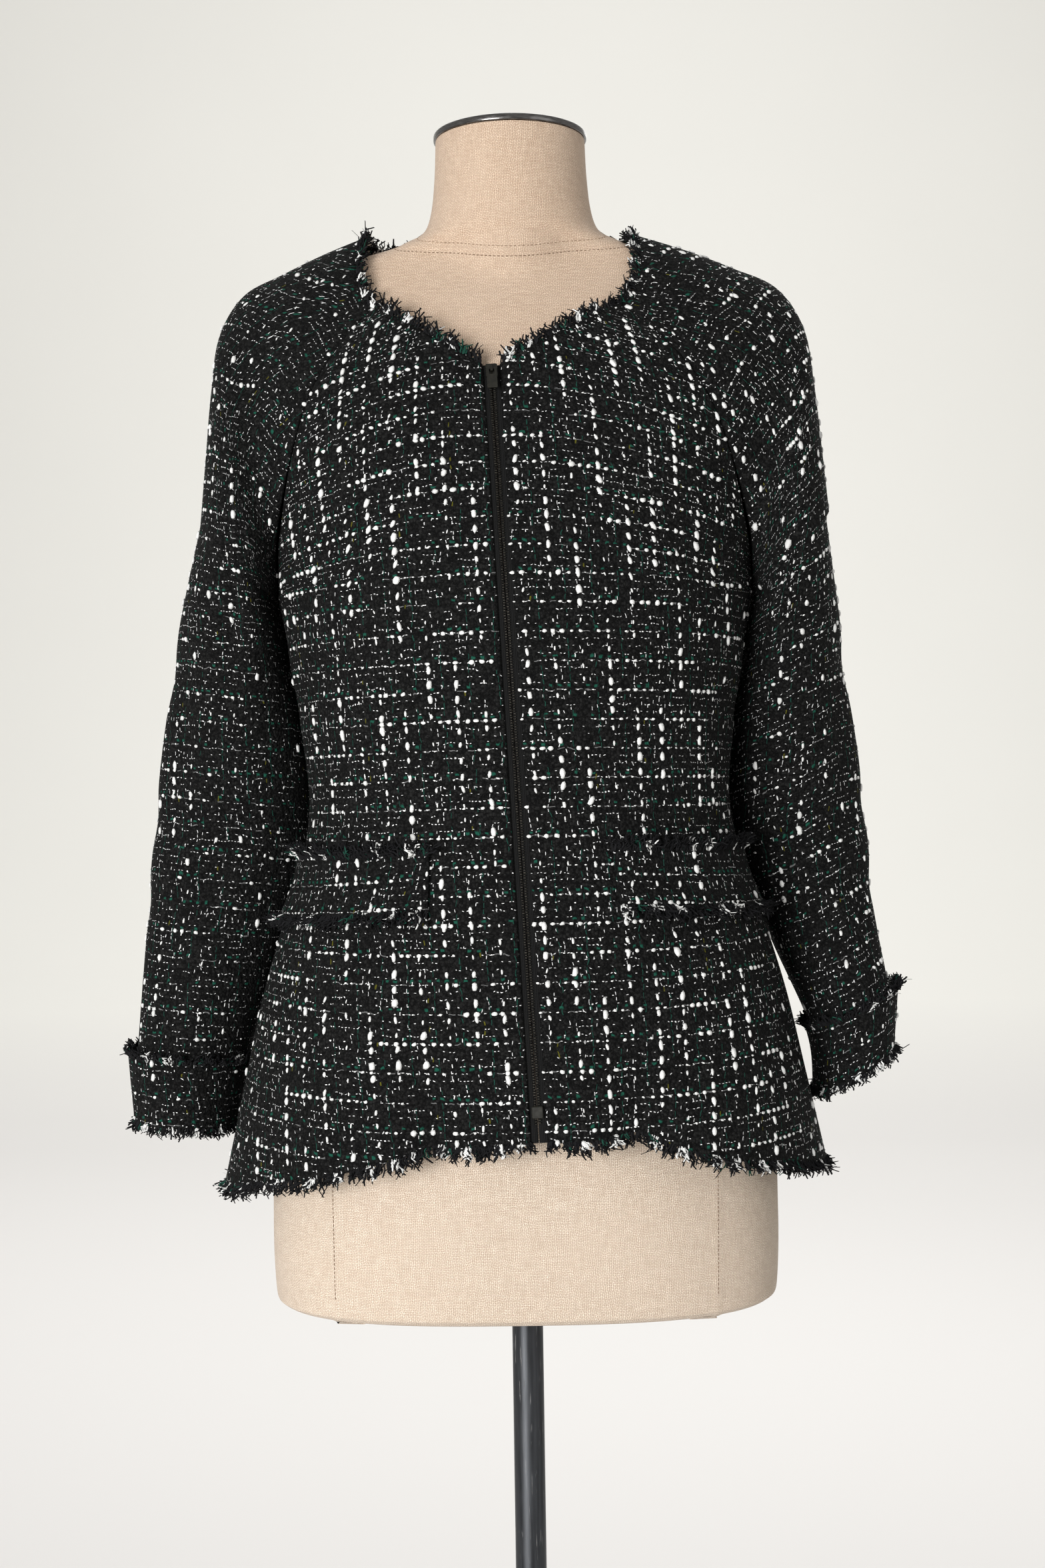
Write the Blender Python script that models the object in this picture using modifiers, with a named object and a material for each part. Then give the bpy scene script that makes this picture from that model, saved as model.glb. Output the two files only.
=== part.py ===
"""Collarless tweed jacket with frayed edges and raglan sleeves, worn by a linen dress form on a pole stand.

Metres, +Z up. The front faces -Y. The origin is on the floor, under the middle of the stand's base.
"""

import math
from collections import defaultdict, namedtuple

import bmesh
import bpy
import numpy as np
from mathutils import Matrix, Vector

# Driving sizes
WALL = 0.002  # thickness of the tweed
SEAM = 0.0003  # gap between pieces that are sewn together
ZIP_GAP = 0.010  # distance between the two front edges
CUFF_FLARE = 0.004  # how far a cuff's upper edge stands off the sleeve
POCKET_FIRST_COLUMN = 3  # column of the front panel where a pocket strip starts
FRONT_COLUMNS = 12
BACK_COLUMNS = 16
SLEEVE_HALF_COLUMNS = 8
FRONT_ROUND = 2.15  # superellipse exponents of the body's sections
BACK_ROUND = 2.2
FINE = 49  # points on a section before it is divided evenly

POLE_RADIUS = 0.0105
BASE_RADIUS = 0.165
BASE_HEIGHT = 0.012
FORM_ROUND = 2.25
FORM_FOOT_ROUND = 0.6  # the form's foot is squarer in plan
FORM_COLUMNS = 40
NECK_TOP = 1.4253
NECK_RADIUS = 0.0508
THROAT_DEPTH = 0.0515  # the neck's front runs down behind the chest's slope
THROAT_HALF = 0.050
THROAT_TOP = 1.371
THROAT_SOFT = 0.004
CAP_HEIGHT = 0.0045

# Sections of the body from hem to neckline. zip: front edge; front and back: where the section meets the
# side seam, or the raglan seam above the underarm; spine: middle of the back; sweeps in degrees.
Section = namedtuple(
    "Section",
    "zip_y zip_z front_x front_y front_z back_x back_y back_z spine_y spine_z front_sweep back_sweep",
)
SECTIONS = {
    "hem": Section(-0.152, 0.768, 0.2035, 0.000, 0.738, 0.2035, 0.000, 0.738, 0.150, 0.736, 90, 90),
    "thigh": Section(-0.150, 0.812, 0.1905, 0.000, 0.795, 0.1905, 0.000, 0.795, 0.146, 0.795, 90, 90),
    "hip": Section(-0.145, 0.862, 0.1775, 0.002, 0.852, 0.1775, 0.002, 0.852, 0.137, 0.852, 90, 90),
    "pocket low": Section(-0.138, 0.911, 0.1610, 0.004, 0.906, 0.1610, 0.004, 0.906, 0.125, 0.906, 90, 90),
    "pocket high": Section(-0.135, 0.945, 0.1490, 0.004, 0.942, 0.1490, 0.004, 0.942, 0.118, 0.942, 90, 90),
    "waist": Section(-0.133, 0.985, 0.1425, 0.002, 0.985, 0.1425, 0.002, 0.985, 0.112, 0.985, 90, 90),
    "ribs": Section(-0.138, 1.045, 0.1500, 0.000, 1.049, 0.1500, 0.000, 1.049, 0.110, 1.045, 90, 90),
    "underarm": Section(-0.141, 1.105, 0.1600, 0.000, 1.113, 0.1600, 0.000, 1.113, 0.113, 1.105, 90, 90),
    "armhole 1": Section(-0.140, 1.120, 0.1595, -0.016, 1.120, 0.1595, 0.016, 1.121, 0.115, 1.130, 85, 85),
    "armhole 2": Section(-0.138, 1.136, 0.1580, -0.033, 1.133, 0.1580, 0.034, 1.138, 0.117, 1.158, 78, 78),
    "armhole 3": Section(-0.1345, 1.155, 0.1545, -0.053, 1.154, 0.1545, 0.054, 1.164, 0.118, 1.190, 70, 70),
    "blade": Section(-0.1265, 1.186, 0.1440, -0.078, 1.196, 0.1430, 0.082, 1.218, 0.116, 1.240, 58, 60),
    "chest": Section(-0.1165, 1.214, 0.1280, -0.087, 1.240, 0.1230, 0.092, 1.272, 0.108, 1.290, 48, 50),
    "collarbone": Section(-0.1070, 1.237, 0.1060, -0.080, 1.274, 0.0970, 0.083, 1.322, 0.092, 1.334, 43, 45),
    "neck": Section(-0.0985, 1.256, 0.0810, -0.066, 1.301, 0.0680, 0.056, 1.364, 0.069, 1.369, 42, 42),
}
UNDERARM = list(SECTIONS).index("underarm")
POCKET_LOW = list(SECTIONS).index("pocket low")
POCKET_HIGH = list(SECTIONS).index("pocket high")

# The sleeve's overarm line beside each section from the underarm up, how far the cloth runs on from each seam
# and at the line, and how sharply it folds out from the body (1 under the arm, 0 at the shoulder).
Ridge = namedtuple("Ridge", "x y z front_pull ridge_pull back_pull fold")
RIDGES = {
    "underarm": Ridge(0.2120, 0.000, 1.165, 0.104, 0.104, 0.104, 1.0),
    "armhole 1": Ridge(0.2075, 0.001, 1.215, 0.100, 0.100, 0.100, 0.95),
    "armhole 2": Ridge(0.2035, 0.002, 1.258, 0.090, 0.094, 0.090, 0.85),
    "armhole 3": Ridge(0.1975, 0.003, 1.296, 0.072, 0.086, 0.072, 0.66),
    "blade": Ridge(0.1805, 0.005, 1.3235, 0.050, 0.070, 0.050, 0.34),
    "chest": Ridge(0.1520, 0.005, 1.3375, 0.042, 0.058, 0.042, 0.12),
    "collarbone": Ridge(0.1220, 0.003, 1.3500, 0.036, 0.046, 0.036, 0.0),
    "neck": Ridge(0.0930, 0.000, 1.3600, 0.028, 0.034, 0.026, 0.0),
}

# Rings of each hanging sleeve from its end up to the underarm, as seen from the front.
Ring = namedtuple("Ring", "inner_x inner_z outer_x outer_z middle_y half_depth")
RIGHT_RINGS = {
    "end": Ring(0.2005, 0.781, 0.2500, 0.812, 0.005, 0.046),
    "cuff": Ring(0.1970, 0.820, 0.2490, 0.849, 0.005, 0.046),
    "forearm": Ring(0.1730, 0.880, 0.2445, 0.903, 0.030, 0.049),
    "elbow": Ring(0.1415, 0.959, 0.2400, 0.985, 0.042, 0.052),
    "upper arm": Ring(0.1480, 1.047, 0.2245, 1.086, 0.028, 0.066),
    "underarm": Ring(0.1615, 1.113, 0.2095, 1.165, 0.000, 0.078),
}
LEFT_RINGS = {
    "end": Ring(0.2005, 0.769, 0.2690, 0.777, 0.035, 0.046),
    "cuff": Ring(0.1930, 0.808, 0.2685, 0.817, 0.035, 0.046),
    "forearm": Ring(0.1690, 0.877, 0.2625, 0.893, 0.040, 0.049),
    "elbow": Ring(0.1415, 0.959, 0.2540, 0.985, 0.042, 0.052),
    "upper arm": Ring(0.1480, 1.047, 0.2360, 1.086, 0.028, 0.066),
    "underarm": Ring(0.1615, 1.113, 0.2120, 1.165, 0.000, 0.078),
}

# The largest folds. across: distance from the middle at the hem, inwards depth, height where it starts.
Fold = namedtuple("Fold", "across half_width depth top_z lift")
FRONT_FOLDS = {
    "left trough": Fold(-0.066, 0.013, 0.010, 0.890, 0.004),
    "left swell": Fold(-0.125, 0.034, -0.008, 0.880, -0.004),
    "right trough": Fold(0.066, 0.021, 0.010, 0.860, 0.009),
    "right swell": Fold(0.128, 0.034, -0.008, 0.880, -0.003),
}
BACK_FOLDS = {
    "middle trough": Fold(0.010, 0.026, 0.009, 0.880, 0.005),
    "left swell": Fold(-0.070, 0.034, -0.008, 0.900, -0.003),
    "right swell": Fold(0.082, 0.034, -0.008, 0.890, -0.003),
}
# Creases across a hanging sleeve: height on the overarm line, slope towards the back, depth.
Crease = namedtuple("Crease", "z slope half_width depth")
SLEEVE_CREASES = {
    "bicep": Crease(1.060, 0.35, 0.016, 0.0045),
    "elbow": Crease(0.975, -0.30, 0.014, 0.0040),
    "forearm": Crease(0.915, 0.25, 0.012, 0.0030),
}

# The jacket sits a little askew: the zip leans this far to the right at its foot and to the left at its top.
LEAN_FOOT = 0.009
LEAN_TOP = -0.014
LEAN_FOOT_Z = 0.768
LEAN_TOP_Z = 1.256
LEAN_REACH = 0.115
# It also hangs lower on the left of the picture: drop at the hem beside the left and the right seam.
DROP_LEFT = 0.014
DROP_RIGHT = 0.004
DROP_TOP_Z = 1.08
DROP_FOOT_Z = 0.74
DROP_REACH = 0.20

# Rings of the dress form: height, half width, depth in front, depth behind.
FormRing = namedtuple("FormRing", "z half_width front back")
FORM_RINGS = {
    "underside": FormRing(0.645, 0.159, 0.107, 0.112),
    "lower edge": FormRing(0.648, 0.1655, 0.1135, 0.1185),
    "corner": FormRing(0.656, 0.1685, 0.1165, 0.1220),
    "low hip": FormRing(0.702, 0.170, 0.118, 0.124),
    "hip": FormRing(0.760, 0.168, 0.118, 0.125),
    "high hip": FormRing(0.850, 0.152, 0.108, 0.110),
    "waist": FormRing(0.960, 0.122, 0.094, 0.084),
    "ribs": FormRing(1.040, 0.132, 0.112, 0.088),
    "bust": FormRing(1.110, 0.145, 0.130, 0.100),
    "chest": FormRing(1.180, 0.148, 0.119, 0.104),
    "armhole": FormRing(1.240, 0.158, 0.098, 0.098),
    "shoulder tip": FormRing(1.300, 0.168, 0.064, 0.078),
    "shoulder": FormRing(1.3258, 0.1585, 0.046, 0.064),
    "collarbone": FormRing(1.3393, 0.135, 0.039, 0.056),
    "shoulder slope": FormRing(1.3480, 0.094, 0.0405, 0.055),
    "neck base": FormRing(1.358, 0.0645, 0.051, 0.056),
    "neck foot": FormRing(1.372, 0.0555, 0.0525, 0.0555),
    "neck": FormRing(1.398, 0.0520, 0.0520, 0.0525),
    "neck top": FormRing(NECK_TOP, NECK_RADIUS, NECK_RADIUS, NECK_RADIUS),
}

# Zip
TAPE_THICKNESS = 0.0008
TAPE_UNDER = 0.010  # how far the tape runs under the front
CHAIN_WIDTH = 0.0042
CHAIN_RISE = 0.0012  # height of the closed teeth above the tape
SLIDER_SIZE = (0.0074, 0.0100, 0.0030)
BAIL_WIDTH = 0.0016
BAIL_LENGTH = 0.0052
BAIL_HEIGHT = 0.0030
BAIL_BAR = 0.0008
PULL_SIZE = (0.0066, 0.0150, 0.0011)
PULL_WINDOW = (0.0034, 0.0040)
PULL_BAR = 0.0011  # width of the pull's cross bar, which turns in the bail
ZIP_BOX_SIZE = (0.0070, 0.0075, 0.0026)

# Frayed edges: tufts on each edge, their length, and the strip that their roots are fused into.
STRIP_HEIGHT = 0.0025
STRIP_GAP = 0.0008  # gap between the cloth edge and the strip
STRIP_THICKNESS = 0.0014
TUFT_SHARE = 0.62  # share of the pitch that a tuft's root takes
TUFTS = {"hem": 64, "neck": 34, "cuff": 13, "pocket": 8}
TUFT_LENGTHS = {"hem": (0.011, 0.008), "neck": (0.010, 0.007), "cuff": (0.009, 0.007), "pocket": (0.008, 0.006)}


def start_scene():
    """Clears the scene and makes the collection that holds the parts."""
    for thing in list(bpy.data.objects):
        bpy.data.objects.remove(thing)
    collection = bpy.data.collections.new("Tweed jacket on dress form")
    bpy.context.scene.collection.children.link(collection)
    return collection


def finish_of(name, color, roughness, metallic=0.0):
    material = bpy.data.materials.new(name)
    material.use_nodes = True
    shader = material.node_tree.nodes["Principled BSDF"]
    shader.inputs["Base Color"].default_value = (*color, 1.0)
    shader.inputs["Roughness"].default_value = roughness
    shader.inputs["Metallic"].default_value = metallic
    return material


PARTS = start_scene()
TWEED = finish_of("Black tweed", (0.030, 0.032, 0.036), 0.95)
FRAYED = finish_of("Frayed tweed", (0.045, 0.046, 0.048), 0.95)
LINEN = finish_of("Natural linen", (0.62, 0.47, 0.34), 0.85)
TAPE = finish_of("Black zip tape", (0.020, 0.020, 0.022), 0.8)
TEETH = finish_of("Dark zip metal", (0.060, 0.057, 0.050), 0.35, 0.9)
NICKEL = finish_of("Dark nickel", (0.33, 0.32, 0.31), 0.2, 1.0)
STEEL = finish_of("Blued steel", (0.055, 0.060, 0.066), 0.4, 0.7)


def add_part(name, mesh, material):
    """Links a mesh as a named part, shaded smooth except at sharp edges."""
    mesh.shade_smooth()
    mesh.set_sharp_from_angle(angle=math.radians(40))
    mesh.materials.append(material)
    part = bpy.data.objects.new(name, mesh)
    PARTS.objects.link(part)
    return part


def part_from(name, bm, material):
    mesh = bpy.data.meshes.new(name)
    bm.to_mesh(mesh)
    bm.free()
    return add_part(name, mesh, material)


# Curves and sections


def read_rows(table, places):
    """Rows at fractional row numbers of a table, on a smooth curve through its rows."""
    rows = np.array(list(table.values()), float)
    last = len(rows) - 1
    found = []
    for place in places:
        i = min(int(place), last - 1)
        f = place - i
        a, b, c, d = (rows[min(max(k, 0), last)] for k in (i - 1, i, i + 1, i + 2))
        curve = 2 * b + (c - a) * f + (2 * a - 5 * b + 4 * c - d) * f**2 + (3 * b - a - 3 * c + d) * f**3
        found.append(0.5 * curve)
    kind = type(next(iter(table.values())))
    return [kind(*row) for row in found]


def divide(points, count):
    """count + 1 points spaced evenly along a line of points."""
    steps = np.linalg.norm(np.diff(points, axis=0), axis=1)
    along = np.concatenate([[0], np.cumsum(steps)])
    wanted = np.linspace(0, along[-1], count + 1)
    return np.stack([np.interp(wanted, along, points[:, k]) for k in range(3)], axis=1)


def body_curve(middle, side, sweep, roundness):
    """Half of a body section, from its middle out to a seam: part of a superellipse."""
    angle = np.linspace(0, math.radians(sweep), FINE)
    out = np.sin(angle) ** (2 / roundness)
    deep = np.maximum(np.cos(angle), 0) ** (2 / roundness)
    across = out / out[-1]
    depth = (deep - deep[-1]) / (1 - deep[-1])
    rise = across ** (1 + max(sweep - 42, 0) / 48)
    return np.stack(
        [
            middle[0] + (side[0] - middle[0]) * across,
            side[1] + (middle[1] - side[1]) * depth,
            middle[2] + (side[2] - middle[2]) * rise,
        ],
        axis=1,
    )


def fold_body(points, folds):
    """Presses the folds into a body section. They deepen towards the hem and leave the seam as it is."""
    points = points.copy()
    free = 1 - np.linspace(0, 1, len(points)) ** 4
    hem_z = SECTIONS["hem"].front_z
    outward = points * [1, 1, 0]
    outward /= np.linalg.norm(outward, axis=1)[:, None]
    for fold in folds.values():
        near = np.exp(-(((points[:, 0] - fold.across) / fold.half_width) ** 2))
        grown = np.clip((fold.top_z - points[:, 2]) / (fold.top_z - hem_z), 0, 1)
        grown = grown * grown * (3 - 2 * grown) * free
        points -= outward * (near * grown * fold.depth)[:, None]
        points[:, 2] += near * grown * fold.lift
    return points


def lean(points):
    """The askew set of the jacket on its form: the middle drifts sideways and the shoulders stay."""
    share = (points[..., 2] - LEAN_FOOT_Z) / (LEAN_TOP_Z - LEAN_FOOT_Z)
    drift = LEAN_FOOT + (LEAN_TOP - LEAN_FOOT) * np.clip(share, 0, 1.15)
    moved = points.copy()
    moved[..., 0] += drift * np.exp(-((points[..., 0] / LEAN_REACH) ** 2))
    low = np.clip((DROP_TOP_Z - points[..., 2]) / (DROP_TOP_Z - DROP_FOOT_Z), 0, 1)
    left = np.clip(-points[..., 0] / DROP_REACH, 0, 1.3)
    right = np.clip(points[..., 0] / DROP_REACH, 0, 1.3)
    moved[..., 2] -= low * (DROP_LEFT * left + DROP_RIGHT * right)
    return moved


def mirrored(points):
    return points * [-1, 1, 1]


def front_curve(section, side):
    """One section of a front, from the zip to its seam. side is 1 on the right of the picture, -1 on the left."""
    middle = (ZIP_GAP / 2, section.zip_y, section.zip_z)
    seam = (section.front_x, section.front_y, section.front_z)
    curve = body_curve(middle, seam, section.front_sweep, FRONT_ROUND)
    if side < 0:
        curve = mirrored(curve)
    return fold_body(curve, FRONT_FOLDS)


def back_curve(section, side):
    """Half a section of the back, from the spine to its seam."""
    middle = (0, section.spine_y, section.spine_z)
    seam = (section.back_x, section.back_y, section.back_z)
    curve = body_curve(middle, seam, section.back_sweep, BACK_ROUND)
    if side < 0:
        curve = mirrored(curve)
    return fold_body(curve, BACK_FOLDS)


def arc(start, start_handle, end_handle, end, count):
    """count + 1 points on a Bezier curve, evenly spaced."""
    t = np.linspace(0, 1, FINE)[:, None]
    p0, p3 = np.array(start), np.array(end)
    p1, p2 = p0 + start_handle, p3 + end_handle
    curve = (1 - t) ** 3 * p0 + 3 * t * (1 - t) ** 2 * p1 + 3 * t**2 * (1 - t) * p2 + t**3 * p3
    return divide(curve, count)


def heading(curve):
    """Unit direction at the end of a curve."""
    step = curve[-1] - curve[-3]
    return step / np.linalg.norm(step)


def sleeve_ring(ring):
    """One ring of a hanging sleeve, from the underarm seam round the front to the seam again."""
    inner = (ring.inner_x, ring.middle_y, ring.inner_z)
    outer = (ring.outer_x, ring.middle_y, ring.outer_z)
    bulge = np.array([0, ring.half_depth * 4 / 3, 0])
    front = arc(inner, -bulge, -bulge, outer, SLEEVE_HALF_COLUMNS)
    back = arc(outer, bulge, bulge, inner, SLEEVE_HALF_COLUMNS)
    points = np.concatenate([front, back[1:]])
    middle = points[:-1].mean(axis=0)
    for crease in SLEEVE_CREASES.values():
        z = points[:, 2] + crease.slope * (points[:, 1] - middle[1])
        near = np.exp(-(((z - crease.z) / crease.half_width) ** 2)) * crease.depth
        inward = (middle - points) * [1, 1, 0]
        inward /= np.linalg.norm(inward, axis=1)[:, None]
        points = points + inward * near[:, None]
    return points


def cap_curve(section, ridge):
    """One section of the sleeve's cap, from the front raglan seam over the shoulder to the back one."""
    front_seam = np.array([section.front_x, section.front_y, section.front_z])
    back_seam = np.array([section.back_x, section.back_y, section.back_z])
    top = np.array([ridge.x, ridge.y, ridge.z])
    forward = np.array([0, -1, 0])
    front_way = (1 - ridge.fold) * heading(front_curve(section, 1)) + ridge.fold * forward
    back_way = (1 - ridge.fold) * heading(back_curve(section, 1)) - ridge.fold * forward
    over = ridge.ridge_pull * forward
    front = arc(front_seam, ridge.front_pull * front_way, over, top, SLEEVE_HALF_COLUMNS)
    back = arc(top, -over, ridge.back_pull * back_way, back_seam, SLEEVE_HALF_COLUMNS)
    return np.concatenate([front, back[1:]])


# Grids of points, one for each piece: rows run up, columns run anticlockwise as seen from above

CAP_SECTIONS = list(SECTIONS.values())[UNDERARM + 1 :]
SKIRT = dict(list(SECTIONS.items())[: UNDERARM + 1])  # the sections below the armholes
BODY_SECTIONS = read_rows(SKIRT, [i / 2 for i in range(2 * UNDERARM + 1)]) + CAP_SECTIONS
CAP_RIDGES = list(RIDGES.values())[1:]
SLEEVE_PLACES = [0, 1] + [1 + i * 4 / 9 for i in range(1, 10)]


def front_grid(side):
    rows = [divide(front_curve(section, side), FRONT_COLUMNS) for section in BODY_SECTIONS]
    grid = lean(np.array(rows))
    return grid if side > 0 else grid[:, ::-1]


def back_grid():
    rows = []
    for section in BODY_SECTIONS:
        right = divide(back_curve(section, 1), BACK_COLUMNS // 2)
        left = divide(back_curve(section, -1), BACK_COLUMNS // 2)
        rows.append(np.concatenate([right[::-1], left[1:]]))
    return lean(np.array(rows))


def sleeve_grid(side):
    rings = read_rows(RIGHT_RINGS if side > 0 else LEFT_RINGS, SLEEVE_PLACES)
    rows = [sleeve_ring(ring) for ring in rings]
    rows += [cap_curve(section, ridge) for section, ridge in zip(CAP_SECTIONS, CAP_RIDGES)]
    grid = np.array(rows)
    return lean(grid) if side > 0 else lean(mirrored(grid))[:, ::-1]


GRIDS = {
    "front_left": front_grid(-1),
    "front_right": front_grid(1),
    "back": back_grid(),
    "sleeve_left": sleeve_grid(-1),
    "sleeve_right": sleeve_grid(1),
}
SLEEVE_RINGS = len(SLEEVE_PLACES)  # rows of a sleeve that are closed rings


def spot(point):
    return tuple(np.round(point, 5))


def outward_normals(grids):
    """Unit normals of all the grids as one skin: points that share a seam share their normal."""
    totals = defaultdict(lambda: np.zeros(3))
    for grid in grids.values():
        faces = np.cross(grid[1:, 1:] - grid[:-1, :-1], grid[1:, :-1] - grid[:-1, 1:])
        for (i, j), _ in np.ndenumerate(faces[..., 0]):
            for corner in ((i, j), (i, j + 1), (i + 1, j), (i + 1, j + 1)):
                totals[spot(grid[corner])] += faces[i, j]
    normals = {}
    for name, grid in grids.items():
        found = np.array([[totals[spot(point)] for point in row] for row in grid])
        normals[name] = found / np.linalg.norm(found, axis=2)[..., None]
    return normals


NORMALS = outward_normals(GRIDS)


def unit(vectors):
    return vectors / np.linalg.norm(vectors, axis=-1)[..., None]


def partings(grids):
    """For each point on a seam, the way that each piece draws back from the piece it is sewn to."""
    into = defaultdict(dict)
    for name, grid in grids.items():
        for last, beside in ((0, 1), (-1, -2)):
            for point, step in zip(grid[:, last], unit(grid[:, beside] - grid[:, last])):
                into[spot(point)][name] = step
    ways = defaultdict(lambda: np.zeros(3))
    for place, steps in into.items():
        for name, step in steps.items():
            others = [other for piece, other in steps.items() if piece != name]
            if others:
                ways[name, place] = unit(step - np.mean(others, axis=0))
    return ways


PARTINGS = partings(GRIDS)


def draw_back(name, grid):
    """Moves the sewn edges of a piece's grid back from the piece beside it."""
    drawn = grid.copy()
    for column in (0, -1):
        ways = np.array([PARTINGS[name, spot(point)] for point in GRIDS[name][:, column]])
        drawn[:, column] += ways * SEAM
    return drawn


# Solids from grids


def wall(name, outer, inner, material, closed_rows=0):
    """A cloth wall between two grids. In the first closed_rows rows the last column is the first one again."""
    bm = bmesh.new()
    rows, columns = outer.shape[:2]
    index = np.arange(rows * columns).reshape(rows, columns)
    index[:closed_rows, -1] = index[:closed_rows, 0]
    skins = []
    for grid in (outer, inner):
        skins.append([bm.verts.new(point) for point in grid.reshape(-1, 3)])
    for i in range(rows - 1):
        for j in range(columns - 1):
            corners = [index[i, j], index[i, j + 1], index[i + 1, j + 1], index[i + 1, j]]
            bm.faces.new([skins[0][k] for k in corners])
            bm.faces.new([skins[1][k] for k in reversed(corners)])
    partner = dict(zip(skins[0], skins[1]))
    for edge in [edge for edge in bm.edges if edge.is_boundary and edge.verts[0] in partner]:
        loop = edge.link_loops[0]
        start, end = loop.vert, loop.link_loop_next.vert
        bm.faces.new([end, start, partner[start], partner[end]])
    loose = [vert for vert in bm.verts if not vert.link_faces]
    bmesh.ops.delete(bm, geom=loose, context="VERTS")
    return part_from(name, bm, material)


def cloth(name, closed_rows=0):
    """A panel of the jacket, drawn back from its seams."""
    outer = draw_back(name, GRIDS[name])
    inner = draw_back(name, GRIDS[name] - NORMALS[name] * WALL)
    return wall(name, outer, inner, TWEED, closed_rows)


def laid_on(points, normals, rise):
    """A strip of tweed on a panel: the panel's own points moved out by rise, a number for each point."""
    inner = points + normals * (SEAM + rise[..., None])
    return inner + normals * WALL, inner


def cuff_grids(side):
    """Outer and inner grids of a cuff: the last stretch of its sleeve, moved out and flared at the top."""
    name = "sleeve_right" if side > 0 else "sleeve_left"
    low, high = GRIDS[name][0], GRIDS[name][1]
    shares = [0, 0.5, 1]
    points = np.array([low + (high - low) * share for share in shares])
    normals = np.array([NORMALS[name][0]] * len(shares))
    outer_side = 0.25 + 0.75 * (1 + side * normals[0, :, 0]) / 2  # it lies closer on the side next to the body
    return laid_on(points, normals, CUFF_FLARE * np.outer([0, 0.35, 1], outer_side))


def pocket_columns(side):
    """Columns of a front that its pocket strip covers."""
    return slice(POCKET_FIRST_COLUMN, None) if side > 0 else slice(None, -POCKET_FIRST_COLUMN)


def pocket_grids(side):
    """Outer and inner grids of a pocket strip, which runs from the front to the side seam."""
    name = "front_right" if side > 0 else "front_left"
    rows = slice(2 * POCKET_LOW, 2 * POCKET_HIGH + 1)
    columns = pocket_columns(side)
    points, normals = draw_back(name, GRIDS[name])[rows, columns], NORMALS[name][rows, columns]
    return laid_on(points, normals, np.outer([0.0006, 0, 0.0006], np.ones(points.shape[1])))


# Zip


def zip_frames():
    """Middle, sideways and outward directions of the zip beside each row of the fronts."""
    left, right = GRIDS["front_left"][:, -1], GRIDS["front_right"][:, 0]
    sideways = right - left
    sideways /= np.linalg.norm(sideways, axis=1)[:, None]
    outward = NORMALS["front_left"][:, -1] + NORMALS["front_right"][:, 0]
    outward -= sideways * (outward * sideways).sum(axis=1)[:, None]
    outward /= np.linalg.norm(outward, axis=1)[:, None]
    return (left + right) / 2, sideways, outward


ZIP_MIDDLE, ZIP_SIDEWAYS, ZIP_OUTWARD = zip_frames()
TAPE_DEPTH = WALL + SEAM  # depth of the tape's face below the tweed's face


def zip_tape(side):
    """One tape: under the front's edge, then out across half of the gap to the teeth."""
    name = "front_right" if side > 0 else "front_left"
    grid, normals = (GRIDS[name], NORMALS[name]) if side > 0 else (GRIDS[name][:, ::-1], NORMALS[name][:, ::-1])
    inward = grid[:, 1] - grid[:, 0]
    inward /= np.linalg.norm(inward, axis=1)[:, None]
    hidden = grid[:, 0] + inward * TAPE_UNDER - normals[:, 0] * (TAPE_DEPTH + 2 * SEAM)
    edge = grid[:, 0] - normals[:, 0] * TAPE_DEPTH
    middle = ZIP_MIDDLE + ZIP_SIDEWAYS * side * SEAM / 2 - ZIP_OUTWARD * TAPE_DEPTH
    columns = [middle, edge, hidden] if side > 0 else [hidden, edge, middle]
    outer = np.stack(columns, axis=1)
    depth = np.stack([ZIP_OUTWARD] * 3, axis=1) * TAPE_THICKNESS
    wall("zip_tape_right" if side > 0 else "zip_tape_left", outer, outer - depth, TAPE)


def zip_chain():
    """The closed teeth as one raised strip along both tapes."""
    base = ZIP_MIDDLE - ZIP_OUTWARD * (TAPE_DEPTH - SEAM)
    half = ZIP_SIDEWAYS * CHAIN_WIDTH / 2
    inner = np.stack([base - half, base + half], axis=1)[2:]
    outer = inner + np.stack([ZIP_OUTWARD] * 2, axis=1)[2:] * CHAIN_RISE
    wall("zip_chain", outer, inner, TEETH)


def block(size, bevel):
    """A bevelled box with its middle at the origin."""
    bm = bmesh.new()
    bmesh.ops.create_cube(bm, size=1)
    bmesh.ops.scale(bm, vec=size, verts=bm.verts)
    bmesh.ops.bevel(bm, geom=bm.edges[:], offset=bevel, segments=1, affect="EDGES")
    return bm


def zip_place(row, lift):
    """Frame on the zip at a row: X across, Y up along the teeth, Z out of the cloth."""
    i = min(int(row), len(ZIP_MIDDLE) - 2)
    up = ZIP_MIDDLE[i + 1] - ZIP_MIDDLE[i]
    origin = ZIP_MIDDLE[i] + up * (row - i)
    up = Vector(up).normalized()
    out = Vector(ZIP_OUTWARD[i])
    out = (out - up * out.dot(up)).normalized()
    across = up.cross(out)
    place = Matrix((across, up, out)).transposed().to_4x4()
    place.translation = Vector(origin) + out * lift
    return place


CHAIN_FACE = CHAIN_RISE + SEAM - TAPE_DEPTH  # height of the teeth's face above the tweed's face
SLIDER_ROW = len(ZIP_MIDDLE) - 1.30
SLIDER_LIFT = CHAIN_FACE + SEAM + SLIDER_SIZE[2] / 2


def add_boolean(part, cutter, operation):
    modifier = part.modifiers.new(cutter.name, "BOOLEAN")
    modifier.operation = operation
    modifier.object = cutter
    cutter.hide_render = True
    cutter.display_type = "WIRE"


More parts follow.
